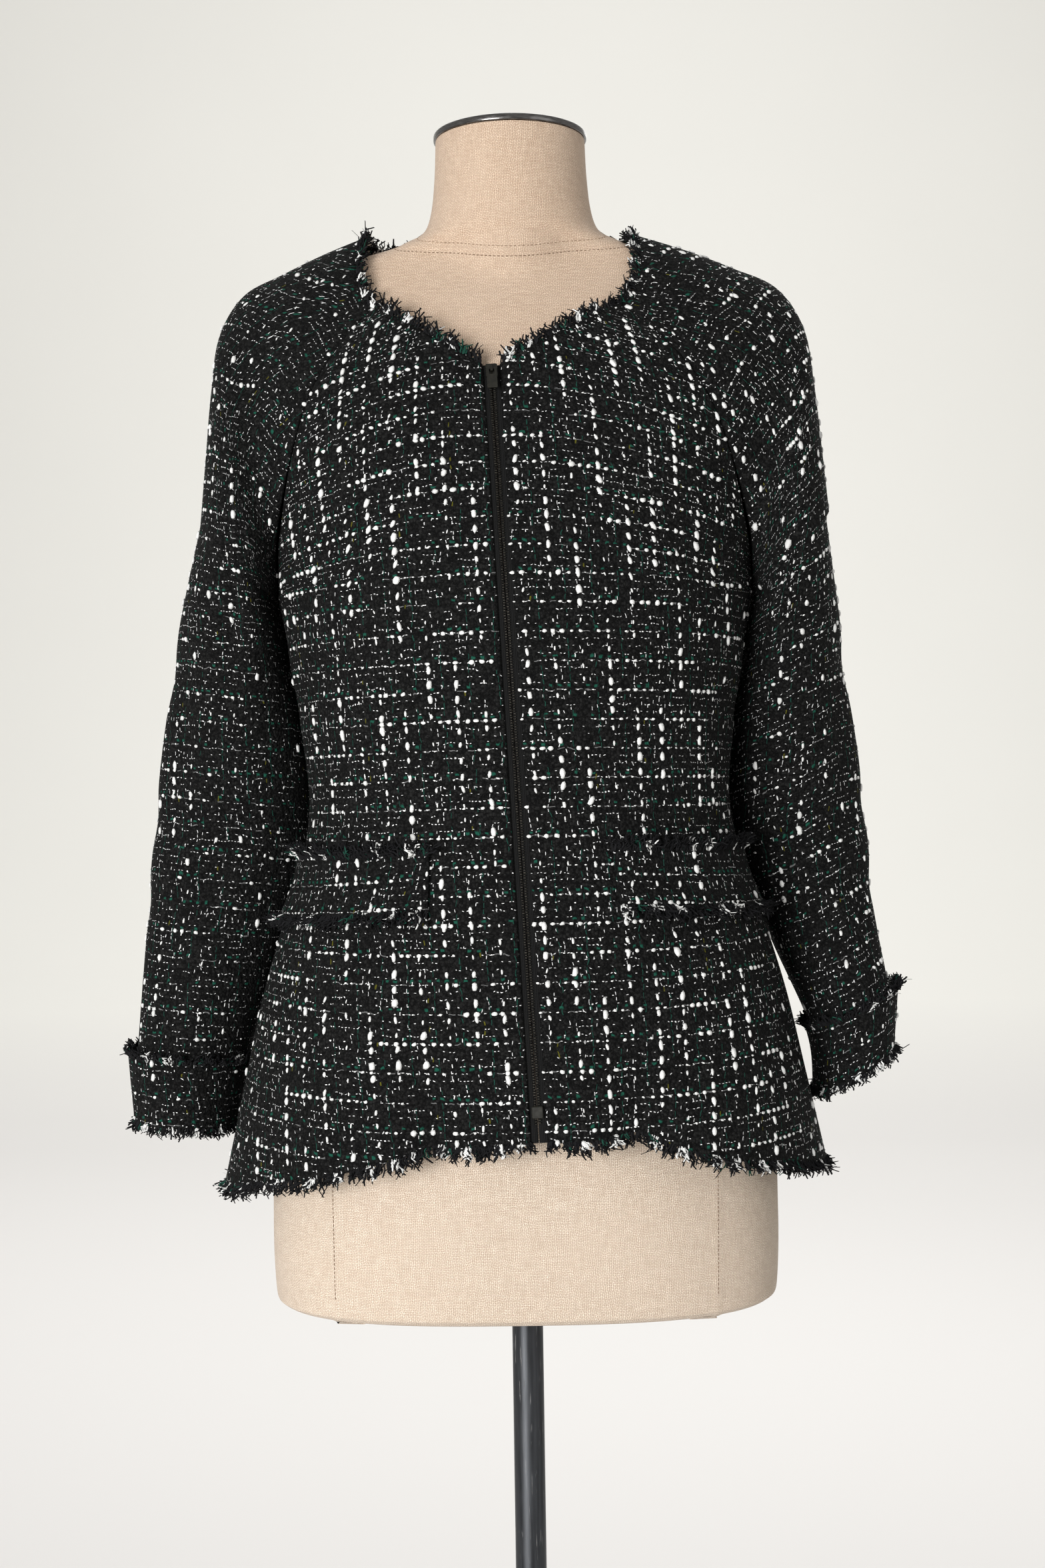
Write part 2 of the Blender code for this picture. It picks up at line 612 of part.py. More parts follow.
def zip_slider():
    """The slider's body with the arched bail that the pull hangs in."""
    place = zip_place(SLIDER_ROW, SLIDER_LIFT)
    slider = part_from("zip_slider", block(SLIDER_SIZE, 0.0007), TEETH)
    slider.matrix_world = place
    top = SLIDER_SIZE[2] / 2
    sunk = 0.0006
    bail = part_from("bail_outer", block((BAIL_WIDTH, BAIL_LENGTH, BAIL_HEIGHT + sunk), 0.0003), TEETH)
    bail.matrix_world = place @ Matrix.Translation((0, 0, top + (BAIL_HEIGHT - sunk) / 2))
    hollow_size = (BAIL_WIDTH * 2, BAIL_LENGTH - 2 * BAIL_BAR, BAIL_HEIGHT - BAIL_BAR)
    hollow = part_from("bail_hollow", block(hollow_size, 0.0002), TEETH)
    hollow.matrix_world = place @ Matrix.Translation((0, 0, top + hollow_size[2] / 2))
    add_boolean(slider, bail, "UNION")
    add_boolean(slider, hollow, "DIFFERENCE")


def zip_pull():
    """The pull tab: a plate with a window whose upper bar turns in the slider's bail."""
    axis_lift = SLIDER_LIFT + SLIDER_SIZE[2] / 2 + (BAIL_HEIGHT - BAIL_BAR) / 2
    place = zip_place(SLIDER_ROW, axis_lift)
    pull = part_from("zip_pull", block(PULL_SIZE, 0.0003), TEETH)
    drop = PULL_BAR / 2 - PULL_SIZE[1] / 2
    pull.data.transform(Matrix.Translation((0, drop, 0)))
    pull.matrix_world = place
    window = part_from("pull_window", block((*PULL_WINDOW, PULL_SIZE[2] * 3), 0.0002), TEETH)
    window.matrix_world = place @ Matrix.Translation((0, -PULL_BAR / 2 - PULL_WINDOW[1] / 2, 0))
    add_boolean(pull, window, "DIFFERENCE")


def zip_box():
    """The box that the zip's foot closes in."""
    box = part_from("zip_box", block(ZIP_BOX_SIZE, 0.0005), TEETH)
    box.matrix_world = zip_place(1.0, -ZIP_BOX_SIZE[2] / 2 + WALL / 2)


# Frayed edges


def fray(name, edge, outward, away, kind, closed):
    """A frayed edge: a narrow strip beside a cloth edge, with tufts drawn out of every other length of it.

    edge: points along the middle of the wall's edge; outward: the cloth's normals; away: the direction in
    which the threads leave the cloth.
    """
    tufts = TUFTS[kind]
    line = np.concatenate([edge, edge[:1]]) if closed else edge
    steps = np.concatenate([[0], np.cumsum(np.linalg.norm(np.diff(line, axis=0), axis=1))])
    pitch = steps[-1] / tufts
    stops = [pitch * (i + share) for i in range(tufts) for share in (0, TUFT_SHARE)]
    if not closed:
        stops = stops[:-1] + [pitch * (tufts - 1 + TUFT_SHARE)]

    def along(values):
        values = np.concatenate([values, values[:1]]) if closed else values
        return np.stack([np.interp(stops, steps, values[:, k]) for k in range(3)], axis=1)

    middle, normal, leave = along(edge), along(outward), along(away)
    near = middle + leave * STRIP_GAP
    far = middle + leave * (STRIP_GAP + STRIP_HEIGHT)
    half = normal * STRIP_THICKNESS / 2
    sections = np.stack([near - half, near + half, far + half, far - half], axis=1)
    bm = bmesh.new()
    verts = [[bm.verts.new(point) for point in section] for section in sections]
    count = len(verts)
    roots = []
    for i in range(count if closed else count - 1):
        a, b = verts[i], verts[(i + 1) % count]
        for k in range(4):
            m = (k + 1) % 4
            face = bm.faces.new([a[k], a[m], b[m], b[k]])
            if k == 2 and i % 2 == 0:
                roots.append(face)
    if not closed:
        bm.faces.new(reversed(verts[0]))
        bm.faces.new(verts[-1])
    grown = bmesh.ops.extrude_discrete_faces(bm, faces=roots)["faces"]
    long, short = TUFT_LENGTHS[kind]
    for i, face in enumerate(grown):
        length = (long if i % 3 else short) * (1 + 0.12 * math.sin(2.3 * i))
        way = Vector(leave[2 * i] + normal[2 * i] * (0.30 + 0.18 * math.sin(1.7 * i)))
        centre = face.calc_center_median()
        for vert in face.verts:
            vert.co = centre + (vert.co - centre) * 0.45 + way.normalized() * length
    bmesh.ops.recalc_face_normals(bm, faces=bm.faces[:])
    part_from(name, bm, FRAYED)


def edge_of(grid, normals, row, beside):
    """Middle line of a wall's edge row, its normals, and the way its threads leave the cloth."""
    away = unit(grid[row] - grid[beside])
    return grid[row] - normals[row] * WALL / 2, normals[row], away


def joined_edge(pieces, row, beside):
    """The edges of several panels, one after the other, as one line."""
    edges = [edge_of(GRIDS[name], NORMALS[name], row, beside) for name in pieces]
    keep = [slice(0, -1)] * (len(edges) - 1) + [slice(None)]
    return [np.concatenate([edge[k][part] for edge, part in zip(edges, keep)]) for k in range(3)]


def fray_body():
    """The frayed hem and neckline, each from the zip round the back to the zip."""
    hem = joined_edge(["front_right", "back", "front_left"], 0, 1)
    fray("fray_hem", *hem, "hem", closed=False)
    neck = joined_edge(["front_right", "sleeve_right", "back", "sleeve_left", "front_left"], -1, -2)
    fray("fray_neck", *neck, "neck", closed=False)


def fray_strip(name, outer, inner, below, above, kind, closed):
    """The frayed edges of a cuff or a pocket strip, whose threads follow the cloth below and above it."""
    normals = unit(outer - inner)
    columns = slice(0, -1) if closed else slice(None)
    for row, away, word in ((0, below, "low"), (-1, above, "high")):
        middle = ((outer[row] + inner[row]) / 2)[columns]
        fray(f"fray_{name}_{word}", middle, normals[row][columns], unit(away)[columns], kind, closed)


# Dress form and stand


def with_throat(x, depth, z):
    """Depth of the form's front where the round of the neck runs down into it."""
    if abs(x) >= THROAT_HALF or not 1.25 < z < THROAT_TOP:
        return depth
    throat = THROAT_DEPTH * math.sqrt(1 - (x / THROAT_HALF) ** 2)
    near = max(THROAT_SOFT - abs(depth - throat), 0) / THROAT_SOFT
    return max(depth, throat) + near * near * THROAT_SOFT / 4


def form_torso():
    """The linen torso with its neck: closed superellipse rings from the underside to the neck's top."""
    places = [0, 1, 2] + [i / 2 for i in range(5, 2 * len(FORM_RINGS) - 1)]
    bm = bmesh.new()
    rings = []
    for ring in read_rows(FORM_RINGS, places):
        level = []
        for k in range(FORM_COLUMNS):
            angle = 2 * math.pi * k / FORM_COLUMNS
            roundness = 2 + (FORM_ROUND - 2) * min(1, max(0, (1.36 - ring.z) / 0.1))
            roundness += FORM_FOOT_ROUND * min(1, max(0, (0.78 - ring.z) / 0.1))
            c, s = math.cos(angle), math.sin(angle)
            x = math.copysign(abs(s) ** (2 / roundness), s) * ring.half_width
            deep = ring.front if c > 0 else ring.back
            y = -math.copysign(abs(c) ** (2 / roundness), c) * deep
            if c > 0:
                y = -with_throat(x, -y, ring.z)
            level.append(bm.verts.new((x, y, ring.z)))
        rings.append(level)
    for low, high in zip(rings, rings[1:]):
        for k in range(FORM_COLUMNS):
            m = (k + 1) % FORM_COLUMNS
            bm.faces.new([low[k], low[m], high[m], high[k]])
    bm.faces.new(reversed(rings[0]))
    bm.faces.new(rings[-1])
    part_from("form_torso", bm, LINEN)


def turned(name, profile, material, steps):
    """A solid turned about +Z from (radius, height) points, listed from the top down."""
    mesh = bpy.data.meshes.new(name)
    edges = [(i, i + 1) for i in range(len(profile) - 1)]
    mesh.from_pydata([(radius, 0, height) for radius, height in profile], edges, [])
    part = bpy.data.objects.new(name, mesh)
    PARTS.objects.link(part)
    screw = part.modifiers.new("Turn", "SCREW")
    screw.steps = screw.render_steps = steps
    screw.use_merge_vertices = True
    screw.merge_threshold = 0.00005
    screw.use_smooth_shade = True
    mesh.materials.append(material)
    return part


def form_cap():
    """The metal cap on the neck: a flat disc with a rounded rim."""
    low, high, rim = NECK_TOP + SEAM, NECK_TOP + SEAM + CAP_HEIGHT, NECK_RADIUS + 0.0014
    turned("form_cap", [(0, high), (rim - 0.0015, high), (rim, high - 0.0015), (rim, low), (0, low)], NICKEL, 40)


def stand():
    """The pole and the round base that it stands in, plain where the picture doesn't show them."""
    top = FORM_RINGS["underside"].z - SEAM
    boss_radius, boss_height = POLE_RADIUS + 0.007, BASE_HEIGHT + 0.045
    foot = boss_height + SEAM
    turned("stand_pole", [(0, top), (POLE_RADIUS, top), (POLE_RADIUS, foot), (0, foot)], STEEL, 24)
    profile = [
        (0, boss_height),
        (boss_radius - 0.002, boss_height),
        (boss_radius, boss_height - 0.002),
        (boss_radius, BASE_HEIGHT + 0.003),
        (boss_radius + 0.006, BASE_HEIGHT),
        (BASE_RADIUS - 0.004, BASE_HEIGHT - 0.002),
        (BASE_RADIUS, BASE_HEIGHT - 0.006),
        (BASE_RADIUS, 0),
        (0, 0),
    ]
    turned("stand_base", profile, STEEL, 48)


def build():
    cloth("front_left")
    cloth("front_right")
    cloth("back")
    cloth("sleeve_left", SLEEVE_RINGS)
    cloth("sleeve_right", SLEEVE_RINGS)
    for side, word in ((-1, "left"), (1, "right")):
        cuff = cuff_grids(side)
        wall(f"cuff_{word}", *cuff, TWEED, closed_rows=3)
        sleeve = GRIDS[f"sleeve_{word}"]
        fray_strip(f"cuff_{word}", *cuff, sleeve[0] - sleeve[1], sleeve[2] - sleeve[1], "cuff", closed=True)
        pocket = pocket_grids(side)
        wall(f"pocket_{word}", *pocket, TWEED)
        front = GRIDS[f"front_{word}"][:, pocket_columns(side)]
        below = front[2 * POCKET_LOW - 1] - front[2 * POCKET_LOW]
        above = front[2 * POCKET_HIGH + 1] - front[2 * POCKET_HIGH]
        fray_strip(f"pocket_{word}", *pocket, below, above, "pocket", closed=False)
        zip_tape(side)
    fray_body()
    zip_chain()
    zip_slider()
    zip_pull()
    zip_box()
    form_torso()
    form_cap()
    stand()


build()
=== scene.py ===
# %% [markdown]
# # A tweed jacket on a dress form
# The object is a short black tweed jacket with frayed edges, zipped up in front and worn by a linen dress
# form on a pole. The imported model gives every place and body; this lesson lays the cloth, yarn and metal
# over it.

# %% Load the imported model
import math
from collections import namedtuple

import bmesh
import bpy
import numpy as np
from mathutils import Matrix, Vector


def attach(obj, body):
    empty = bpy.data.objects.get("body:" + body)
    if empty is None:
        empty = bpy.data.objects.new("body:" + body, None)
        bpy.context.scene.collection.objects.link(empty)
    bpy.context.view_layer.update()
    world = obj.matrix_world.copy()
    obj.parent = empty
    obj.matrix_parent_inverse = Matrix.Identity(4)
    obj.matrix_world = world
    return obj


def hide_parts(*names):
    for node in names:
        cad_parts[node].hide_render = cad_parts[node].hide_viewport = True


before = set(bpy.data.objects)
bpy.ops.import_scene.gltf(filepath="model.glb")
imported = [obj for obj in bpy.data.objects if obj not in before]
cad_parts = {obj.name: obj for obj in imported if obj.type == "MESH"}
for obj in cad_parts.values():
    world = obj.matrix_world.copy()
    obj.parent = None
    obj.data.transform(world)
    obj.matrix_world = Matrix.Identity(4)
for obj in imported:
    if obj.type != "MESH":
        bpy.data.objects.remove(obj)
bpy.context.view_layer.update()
chance = np.random.default_rng(31)
BODY = "jacket_on_form"
print("solids to dress:", len(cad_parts))

# %% [markdown]
# ## Camera and studio
# The picture is taken from straight in front with a normal lens, and the camera is rolled by under a
# degree. A floor that sweeps up into a wall far behind gives an even pale ground, as a paper roll does in
# a studio.

# %% Camera
CAMERA_PLACE = (0.002, -1.485, 0.988)
CAMERA_ROLL = math.radians(0.86)

bpy.ops.object.camera_add(location=CAMERA_PLACE, rotation=(math.radians(90), CAMERA_ROLL, 0))
camera = bpy.context.object
camera.data.lens = 50
camera.data.sensor_width = 36
bpy.context.scene.camera = camera
bpy.context.scene.view_settings.view_transform = "Standard"
print("camera at", tuple(round(x, 3) for x in camera.location))


# %% Floor and lights
def deselect():
    """Leaves edit mode and selects nothing."""
    if bpy.context.object and bpy.context.object.mode != "OBJECT":
        bpy.ops.object.mode_set(mode="OBJECT")
    bpy.ops.object.select_all(action="DESELECT")


def pick(piece, kind, test):
    """In edit mode, selects the edges or faces whose corners all pass a test of their place."""
    if piece.mode != "EDIT":
        bpy.ops.object.mode_set(mode="EDIT")
    bpy.ops.mesh.select_mode(type=kind)
    bpy.ops.mesh.select_all(action="DESELECT")
    shape = bmesh.from_edit_mesh(piece.data)
    for part in shape.edges if kind == "EDGE" else shape.faces:
        part.select_set(all(test(corner.co) for corner in part.verts))
    bmesh.update_edit_mesh(piece.data)


FLOOR_SIZE = 16
FLOOR_END = FLOOR_SIZE / 2 - 0.1
WALL_HEIGHT = 9
SWEEP = 3.5  # reach of the bend from the floor into the wall

deselect()
bpy.ops.mesh.primitive_plane_add(size=FLOOR_SIZE)
floor = bpy.context.object
floor.name = "studio_floor"
pick(floor, "EDGE", lambda co: co.y > FLOOR_END)
bpy.ops.mesh.extrude_region_move(TRANSFORM_OT_translate={"value": (0, 0, WALL_HEIGHT)})
pick(floor, "EDGE", lambda co: co.y > FLOOR_END and co.z < 0.1)
bpy.ops.mesh.bevel(offset=SWEEP, segments=14)
bpy.ops.object.mode_set(mode="OBJECT")
bpy.ops.object.shade_smooth()

Light = namedtuple("Light", "place target size energy spread")
LIGHTS = {
    "key": Light((-1.35, -2.55, 0.95), (0, 0, 1.00), 1.3, 22, 80),
    "fill": Light((2.2, -2.0, 1.4), (0, 0, 1.0), 1.8, 10, 180),
    "back": Light((0.6, 2.2, 2.4), (0, 0, 1.0), 1.6, 10, 180),
    "wall": Light((0.0, 2.6, 4.6), (0, 7.0, 0.2), 4.0, 165, 180),
}
for name, light in LIGHTS.items():
    aim = (Vector(light.target) - Vector(light.place)).to_track_quat("-Z", "Y").to_euler()
    bpy.ops.object.light_add(type="AREA", location=light.place, rotation=aim)
    lamp = bpy.context.object
    lamp.name = "light_" + name
    lamp.data.size = light.size
    lamp.data.energy = light.energy
    lamp.data.spread = math.radians(light.spread)
world = bpy.data.worlds.new("Studio air")
world.use_nodes = True
air = world.node_tree.nodes["Background"].inputs
air["Color"].default_value = (1.0, 0.99, 0.965, 1)
air["Strength"].default_value = 0.50
bpy.context.scene.world = world
print("lights:", list(LIGHTS))

# %% [markdown]
# ## Finishes
# A finish is a shader with nodes in front of it. A small helper adds the nodes one after another, so that
# a finish reads like a recipe: measure a place, make a mask, mix colours, raise a bump.


# %% Recipe helper
class Finish:
    """A material whose nodes are added one after another."""

    def __init__(self, name, **sockets):
        self.material = bpy.data.materials.new(name)
        self.material.use_nodes = True
        self.tree = self.material.node_tree
        self.shader = self.tree.nodes["Principled BSDF"]
        for socket, value in sockets.items():
            self.shader.inputs[socket.replace("_", " ")].default_value = value
        self.place = self.node("TexCoord", {}).outputs["Object"]

    def node(self, kind, inputs, **settings):
        made = self.tree.nodes.new("ShaderNode" + kind)
        for name, value in settings.items():
            setattr(made, name, value)
        for socket, value in inputs.items():
            self.feed(made.inputs[socket], value)
        return made

    def feed(self, socket, value):
        if isinstance(value, bpy.types.NodeSocket):
            self.tree.links.new(value, socket)
        else:
            socket.default_value = value

    def sum(self, operation, a, b=0.0):
        return self.node("Math", {0: a, 1: b}, operation=operation).outputs[0]

    def span(self, value, low, high, to_low=0.0, to_high=1.0):
        return self.node("MapRange", {0: value, 1: low, 2: high, 3: to_low, 4: to_high}).outputs[0]

    def noise(self, scale, detail=2.0, place=None):
        inputs = {"Vector": place or self.place, "Scale": scale, "Detail": detail}
        return self.node("TexNoise", inputs).outputs[0]

    def mix(self, share, a, b, blend="MIX"):
        inputs = {0: share, 6: a, 7: b}
        return self.node("Mix", inputs, data_type="RGBA", blend_type=blend).outputs[2]

    def stretch(self, x, y, z):
        return self.node("Mapping", {"Vector": self.place, "Scale": (x, y, z)}).outputs[0]

    def height(self):
        return self.node("SeparateXYZ", {0: self.place}).outputs[2]

    def weave(self):
        chart = self.node("UVMap", {}, uv_map="Weave").outputs[0]
        return self.node("SeparateXYZ", {0: chart}).outputs[:2]

    def colour(self, value):
        self.feed(self.shader.inputs["Base Color"], value)

    def rough(self, value):
        self.feed(self.shader.inputs["Roughness"], value)

    def bump(self, height, distance):
        made = self.node("Bump", {"Height": height, "Distance": distance})
        self.feed(self.shader.inputs["Normal"], made.outputs[0])


def grey(level, tint=1.0):
    return (level, level, level * tint, 1)


paper = Finish("Pale studio paper", Roughness=0.9)
paper_tone = paper.mix(paper.noise(1.5), (0.845, 0.835, 0.795, 1), (0.865, 0.855, 0.815, 1))
# The floor is painted darker than the wall: painted shade against the stronger light falling on it.
paper.colour(paper.mix(paper.span(paper.height(), 0.0, 0.25), (0.77, 0.755, 0.74, 1), paper_tone))
floor.data.materials.append(paper.material)
print("paper:", paper.material.name)


# %% [markdown]
# ## Tweed
# The cloth is woven of black loop yarn, with a white slub yarn every 17 mm across and 18 mm up, green
# yarn midway between, and short glints of silver thread. The white slubs stand up, so they are real
# geometry later on. The rest is drawn on the cloth's own weave map, which is in metres: a row of a thread
# is the whole part of a measure, and a random number for each dash says whether the thread comes to the
# face there.

# %% Tweed finish
WARP_STEP = 17.3  # millimetres between white warp threads
WEFT_STEP = 18.2
Dash = namedtuple("Dash", "spacing phase half_width length fill share seed")  # measures in millimetres
DASHES = {
    "green weft": Dash(WEFT_STEP, 0.0, 1.0, 5.77, 0.50, 0.46, 3.0),
    "green warp": Dash(WARP_STEP, 0.5 - 14.65 / WARP_STEP, 0.42, 4.55, 0.85, 0.62, 5.0),
    "moss warp": Dash(34.6, 0.2, 0.5, 6.0, 0.55, 0.10, 9.0),
    "glint weft": Dash(4.55, 0.1, 0.34, 2.3, 0.58, 0.36, 11.0),
    "glint warp": Dash(4.325, 0.3, 0.30, 3.1, 0.72, 0.14, 13.0),
    "white weft": Dash(WEFT_STEP, 0.15, 0.40, 5.77, 0.80, 0.30, 17.0),
}


def dashes(finish, across, along, kind):
    """Mask of a thread that comes to the face of the cloth in dashes, each filling part of its place."""
    place = finish.sum("ADD", finish.sum("DIVIDE", across, kind.spacing), kind.phase)
    line = finish.sum("FLOOR", place)
    off = finish.sum("ABSOLUTE", finish.sum("SUBTRACT", finish.sum("FRACT", place), 0.5))
    off = finish.sum("MULTIPLY", off, kind.spacing)
    thin = finish.span(off, kind.half_width, kind.half_width * 0.45)
    step = finish.sum("DIVIDE", along, kind.length)
    step = finish.sum("ADD", step, finish.sum("MULTIPLY", line, 0.37))
    spot = finish.node("CombineXYZ", {0: line, 1: finish.sum("FLOOR", step), 2: kind.seed}).outputs[0]
    luck = finish.node("TexWhiteNoise", {"Vector": spot}).outputs["Value"]
    shown = finish.sum("LESS_THAN", luck, kind.share)
    ends = finish.sum("ABSOLUTE", finish.sum("SUBTRACT", finish.sum("FRACT", step), 0.5))
    whole = finish.span(ends, kind.fill / 2, kind.fill / 2 - 0.1)
    return finish.sum("MULTIPLY", finish.sum("MULTIPLY", thin, shown), whole)


def tweed_finish():
    tweed = Finish("Black loop tweed", Roughness=0.92, Specular_IOR_Level=0.12)
    across, up = tweed.weave()
    wander = tweed.span(tweed.noise(140, 1), 0.25, 0.75, -0.9, 0.9)
    drift = tweed.span(tweed.noise(170, 1, tweed.stretch(1.3, 0.8, 1.1)), 0.25, 0.75, -0.9, 0.9)
    u = tweed.sum("ADD", tweed.sum("MULTIPLY", across, 1000.0), wander)
    v = tweed.sum("ADD", tweed.sum("MULTIPLY", up, 1000.0), drift)
    mask = {}
    for name, kind in DASHES.items():
        mask[name] = dashes(tweed, v, u, kind) if "weft" in name else dashes(tweed, u, v, kind)
    cells = tweed.node("TexVoronoi", {"Vector": tweed.place, "Scale": 560.0}, feature="F1")
    loops = cells.outputs["Distance"]
    curls = tweed.noise(1100, 3)
    own = tweed.node("SeparateXYZ", {0: cells.outputs["Color"]}).outputs[0]
    body = tweed.mix(tweed.span(own, 0.25, 1.0), grey(0.0026), grey(0.013, 0.97))
    body = tweed.mix(tweed.span(loops, 0.35, 0.75, 0.0, 0.92), body, grey(0.0008))
    body = tweed.mix(tweed.span(curls, 0.56, 0.74, 0.0, 0.75), body, grey(0.020, 0.97))
    body = tweed.mix(mask["green warp"], body, (0.010, 0.050, 0.036, 1))
    body = tweed.mix(mask["green weft"], body, (0.009, 0.070, 0.046, 1))
    body = tweed.mix(mask["moss warp"], body, (0.085, 0.080, 0.008, 1))
    body = tweed.mix(tweed.sum("MULTIPLY", mask["white weft"], 0.4), body, grey(0.30))
    glint = tweed.sum("MAXIMUM", mask["glint weft"], mask["glint warp"])
    tweed.colour(tweed.mix(glint, body, grey(0.85)))
    tweed.rough(tweed.span(glint, 0.0, 1.0, 0.92, 0.30))
    pile = tweed.sum("SUBTRACT", tweed.sum("MULTIPLY", curls, 0.6), tweed.sum("MULTIPLY", loops, 0.8))
    green = tweed.sum("MAXIMUM", mask["green weft"], mask["green warp"])
    raised = tweed.sum("MULTIPLY", tweed.sum("MAXIMUM", green, glint), 0.5)
    tweed.bump(tweed.sum("ADD", pile, raised), 0.0011)
    return tweed.material


TWEED = tweed_finish()
print("tweed nodes:", len(TWEED.node_tree.nodes))

# %% [markdown]
# Loose yarn, in the slubs and the frayed edges, carries its own colour as an attribute of each point, so
# that one mesh can hold black, white and green threads. Fine noise makes it woolly.


# %% Yarn finish
def yarn_finish():
    yarn = Finish("Loose yarn", Roughness=0.95, Specular_IOR_Level=0.15)
    dye = yarn.node("Attribute", {}, attribute_name="Dye").outputs["Color"]
    hairs = yarn.noise(2400, 3)
    shade = yarn.mix(yarn.span(hairs, 0.3, 0.7), grey(0.80), grey(1.0))
    yarn.colour(yarn.mix(1.0, dye, shade, "MULTIPLY"))
    yarn.bump(hairs, 0.0004)
    return yarn.material


YARN = yarn_finish()
BLACK_DYE = (0.010, 0.010, 0.011, 1)
WHITE_DYE = (0.93, 0.93, 0.91, 1)
GREEN_DYE = (0.015, 0.075, 0.052, 1)
print("yarn:", YARN.name)

# %% [markdown]
# ## The cut of the jacket
# The jacket is two fronts, a back and two raglan sleeves. Each is a grid of points on sections that run
# from hem to neckline, from the same measures as the solid model but far finer. Its columns come closer
# together beside a seam, where the cloth dips into the stitching.

# %% Measures of the body
WALL = 0.002  # thickness of the tweed
ZIP_GAP = 0.010
FRONT_ROUND = 2.15
BACK_ROUND = 2.2
NECK_SWEEP = 42  # degrees that the section at the neck goes round
FINE = 97  # points on a section's curve

Section = namedtuple(
    "Section",
    "zip_y zip_z front_x front_y front_z back_x back_y back_z spine_y spine_z front_sweep back_sweep",
)
SECTIONS = {
    "hem": Section(-0.152, 0.768, 0.2035, 0.000, 0.738, 0.2035, 0.000, 0.738, 0.150, 0.736, 90, 90),
    "thigh": Section(-0.150, 0.812, 0.1905, 0.000, 0.795, 0.1905, 0.000, 0.795, 0.146, 0.795, 90, 90),
    "hip": Section(-0.145, 0.862, 0.1775, 0.002, 0.852, 0.1775, 0.002, 0.852, 0.137, 0.852, 90, 90),
    "pocket low": Section(-0.138, 0.911, 0.1610, 0.004, 0.906, 0.1610, 0.004, 0.906, 0.125, 0.906, 90, 90),
    "pocket high": Section(-0.135, 0.945, 0.1490, 0.004, 0.942, 0.1490, 0.004, 0.942, 0.118, 0.942, 90, 90),
    "waist": Section(-0.133, 0.985, 0.1425, 0.002, 0.985, 0.1425, 0.002, 0.985, 0.112, 0.985, 90, 90),
    "ribs": Section(-0.138, 1.045, 0.1500, 0.000, 1.049, 0.1500, 0.000, 1.049, 0.110, 1.045, 90, 90),
    "underarm": Section(-0.141, 1.105, 0.1600, 0.000, 1.113, 0.1600, 0.000, 1.113, 0.113, 1.105, 90, 90),
    "armhole 1": Section(-0.140, 1.120, 0.1595, -0.016, 1.120, 0.1595, 0.016, 1.121, 0.115, 1.130, 85, 85),
    "armhole 2": Section(-0.138, 1.136, 0.1580, -0.033, 1.133, 0.1580, 0.034, 1.138, 0.117, 1.158, 78, 78),
    "armhole 3": Section(-0.1345, 1.155, 0.1545, -0.053, 1.154, 0.1545, 0.054, 1.164, 0.118, 1.190, 70, 70),
    "blade": Section(-0.1265, 1.186, 0.1440, -0.078, 1.196, 0.1430, 0.082, 1.218, 0.116, 1.240, 58, 60),
    "chest": Section(-0.1165, 1.214, 0.1280, -0.087, 1.240, 0.1230, 0.092, 1.272, 0.108, 1.290, 48, 50),
    "collarbone": Section(-0.1070, 1.237, 0.1060, -0.080, 1.274, 0.0970, 0.083, 1.322, 0.092, 1.334, 43, 45),
    "neck": Section(-0.0985, 1.256, 0.0810, -0.066, 1.301, 0.0680, 0.056, 1.364, 0.069, 1.369, 42, 42),
}
UNDERARM = list(SECTIONS).index("underarm")
SKIRT = dict(list(SECTIONS.items())[: UNDERARM + 1])
CAP = dict(list(SECTIONS.items())[UNDERARM:])
print("sections:", len(SECTIONS))

# %% Measures of the sleeves
Ridge = namedtuple("Ridge", "x y z front_pull ridge_pull back_pull fold")
RIDGES = {
    "underarm": Ridge(0.2120, 0.000, 1.165, 0.104, 0.104, 0.104, 1.0),
    "armhole 1": Ridge(0.2075, 0.001, 1.215, 0.100, 0.100, 0.100, 0.95),
    "armhole 2": Ridge(0.2035, 0.002, 1.258, 0.090, 0.094, 0.090, 0.85),
    "armhole 3": Ridge(0.1975, 0.003, 1.296, 0.072, 0.086, 0.072, 0.66),
    "blade": Ridge(0.1805, 0.005, 1.3235, 0.050, 0.070, 0.050, 0.34),
    "chest": Ridge(0.1520, 0.005, 1.3375, 0.042, 0.058, 0.042, 0.12),
    "collarbone": Ridge(0.1220, 0.003, 1.3500, 0.036, 0.046, 0.036, 0.0),
    "neck": Ridge(0.0930, 0.000, 1.3600, 0.028, 0.034, 0.026, 0.0),
}
Ring = namedtuple("Ring", "inner_x inner_z outer_x outer_z middle_y half_depth")
RIGHT_RINGS = {
    "end": Ring(0.2005, 0.781, 0.2500, 0.812, 0.005, 0.046),
    "cuff": Ring(0.1970, 0.820, 0.2490, 0.849, 0.005, 0.046),
    "forearm": Ring(0.1730, 0.880, 0.2445, 0.903, 0.030, 0.049),
    "elbow": Ring(0.1415, 0.959, 0.2400, 0.985, 0.042, 0.052),
    "upper arm": Ring(0.1480, 1.047, 0.2245, 1.086, 0.028, 0.066),
    "underarm": Ring(0.1615, 1.113, 0.2095, 1.165, 0.000, 0.078),
}
LEFT_RINGS = {
    "end": Ring(0.2005, 0.769, 0.2690, 0.777, 0.035, 0.046),
    "cuff": Ring(0.1930, 0.808, 0.2685, 0.817, 0.035, 0.046),
    "forearm": Ring(0.1690, 0.877, 0.2625, 0.893, 0.040, 0.049),
    "elbow": Ring(0.1415, 0.959, 0.2540, 0.985, 0.042, 0.052),
    "upper arm": Ring(0.1480, 1.047, 0.2360, 1.086, 0.028, 0.066),
    "underarm": Ring(0.1615, 1.113, 0.2120, 1.165, 0.000, 0.078),
}
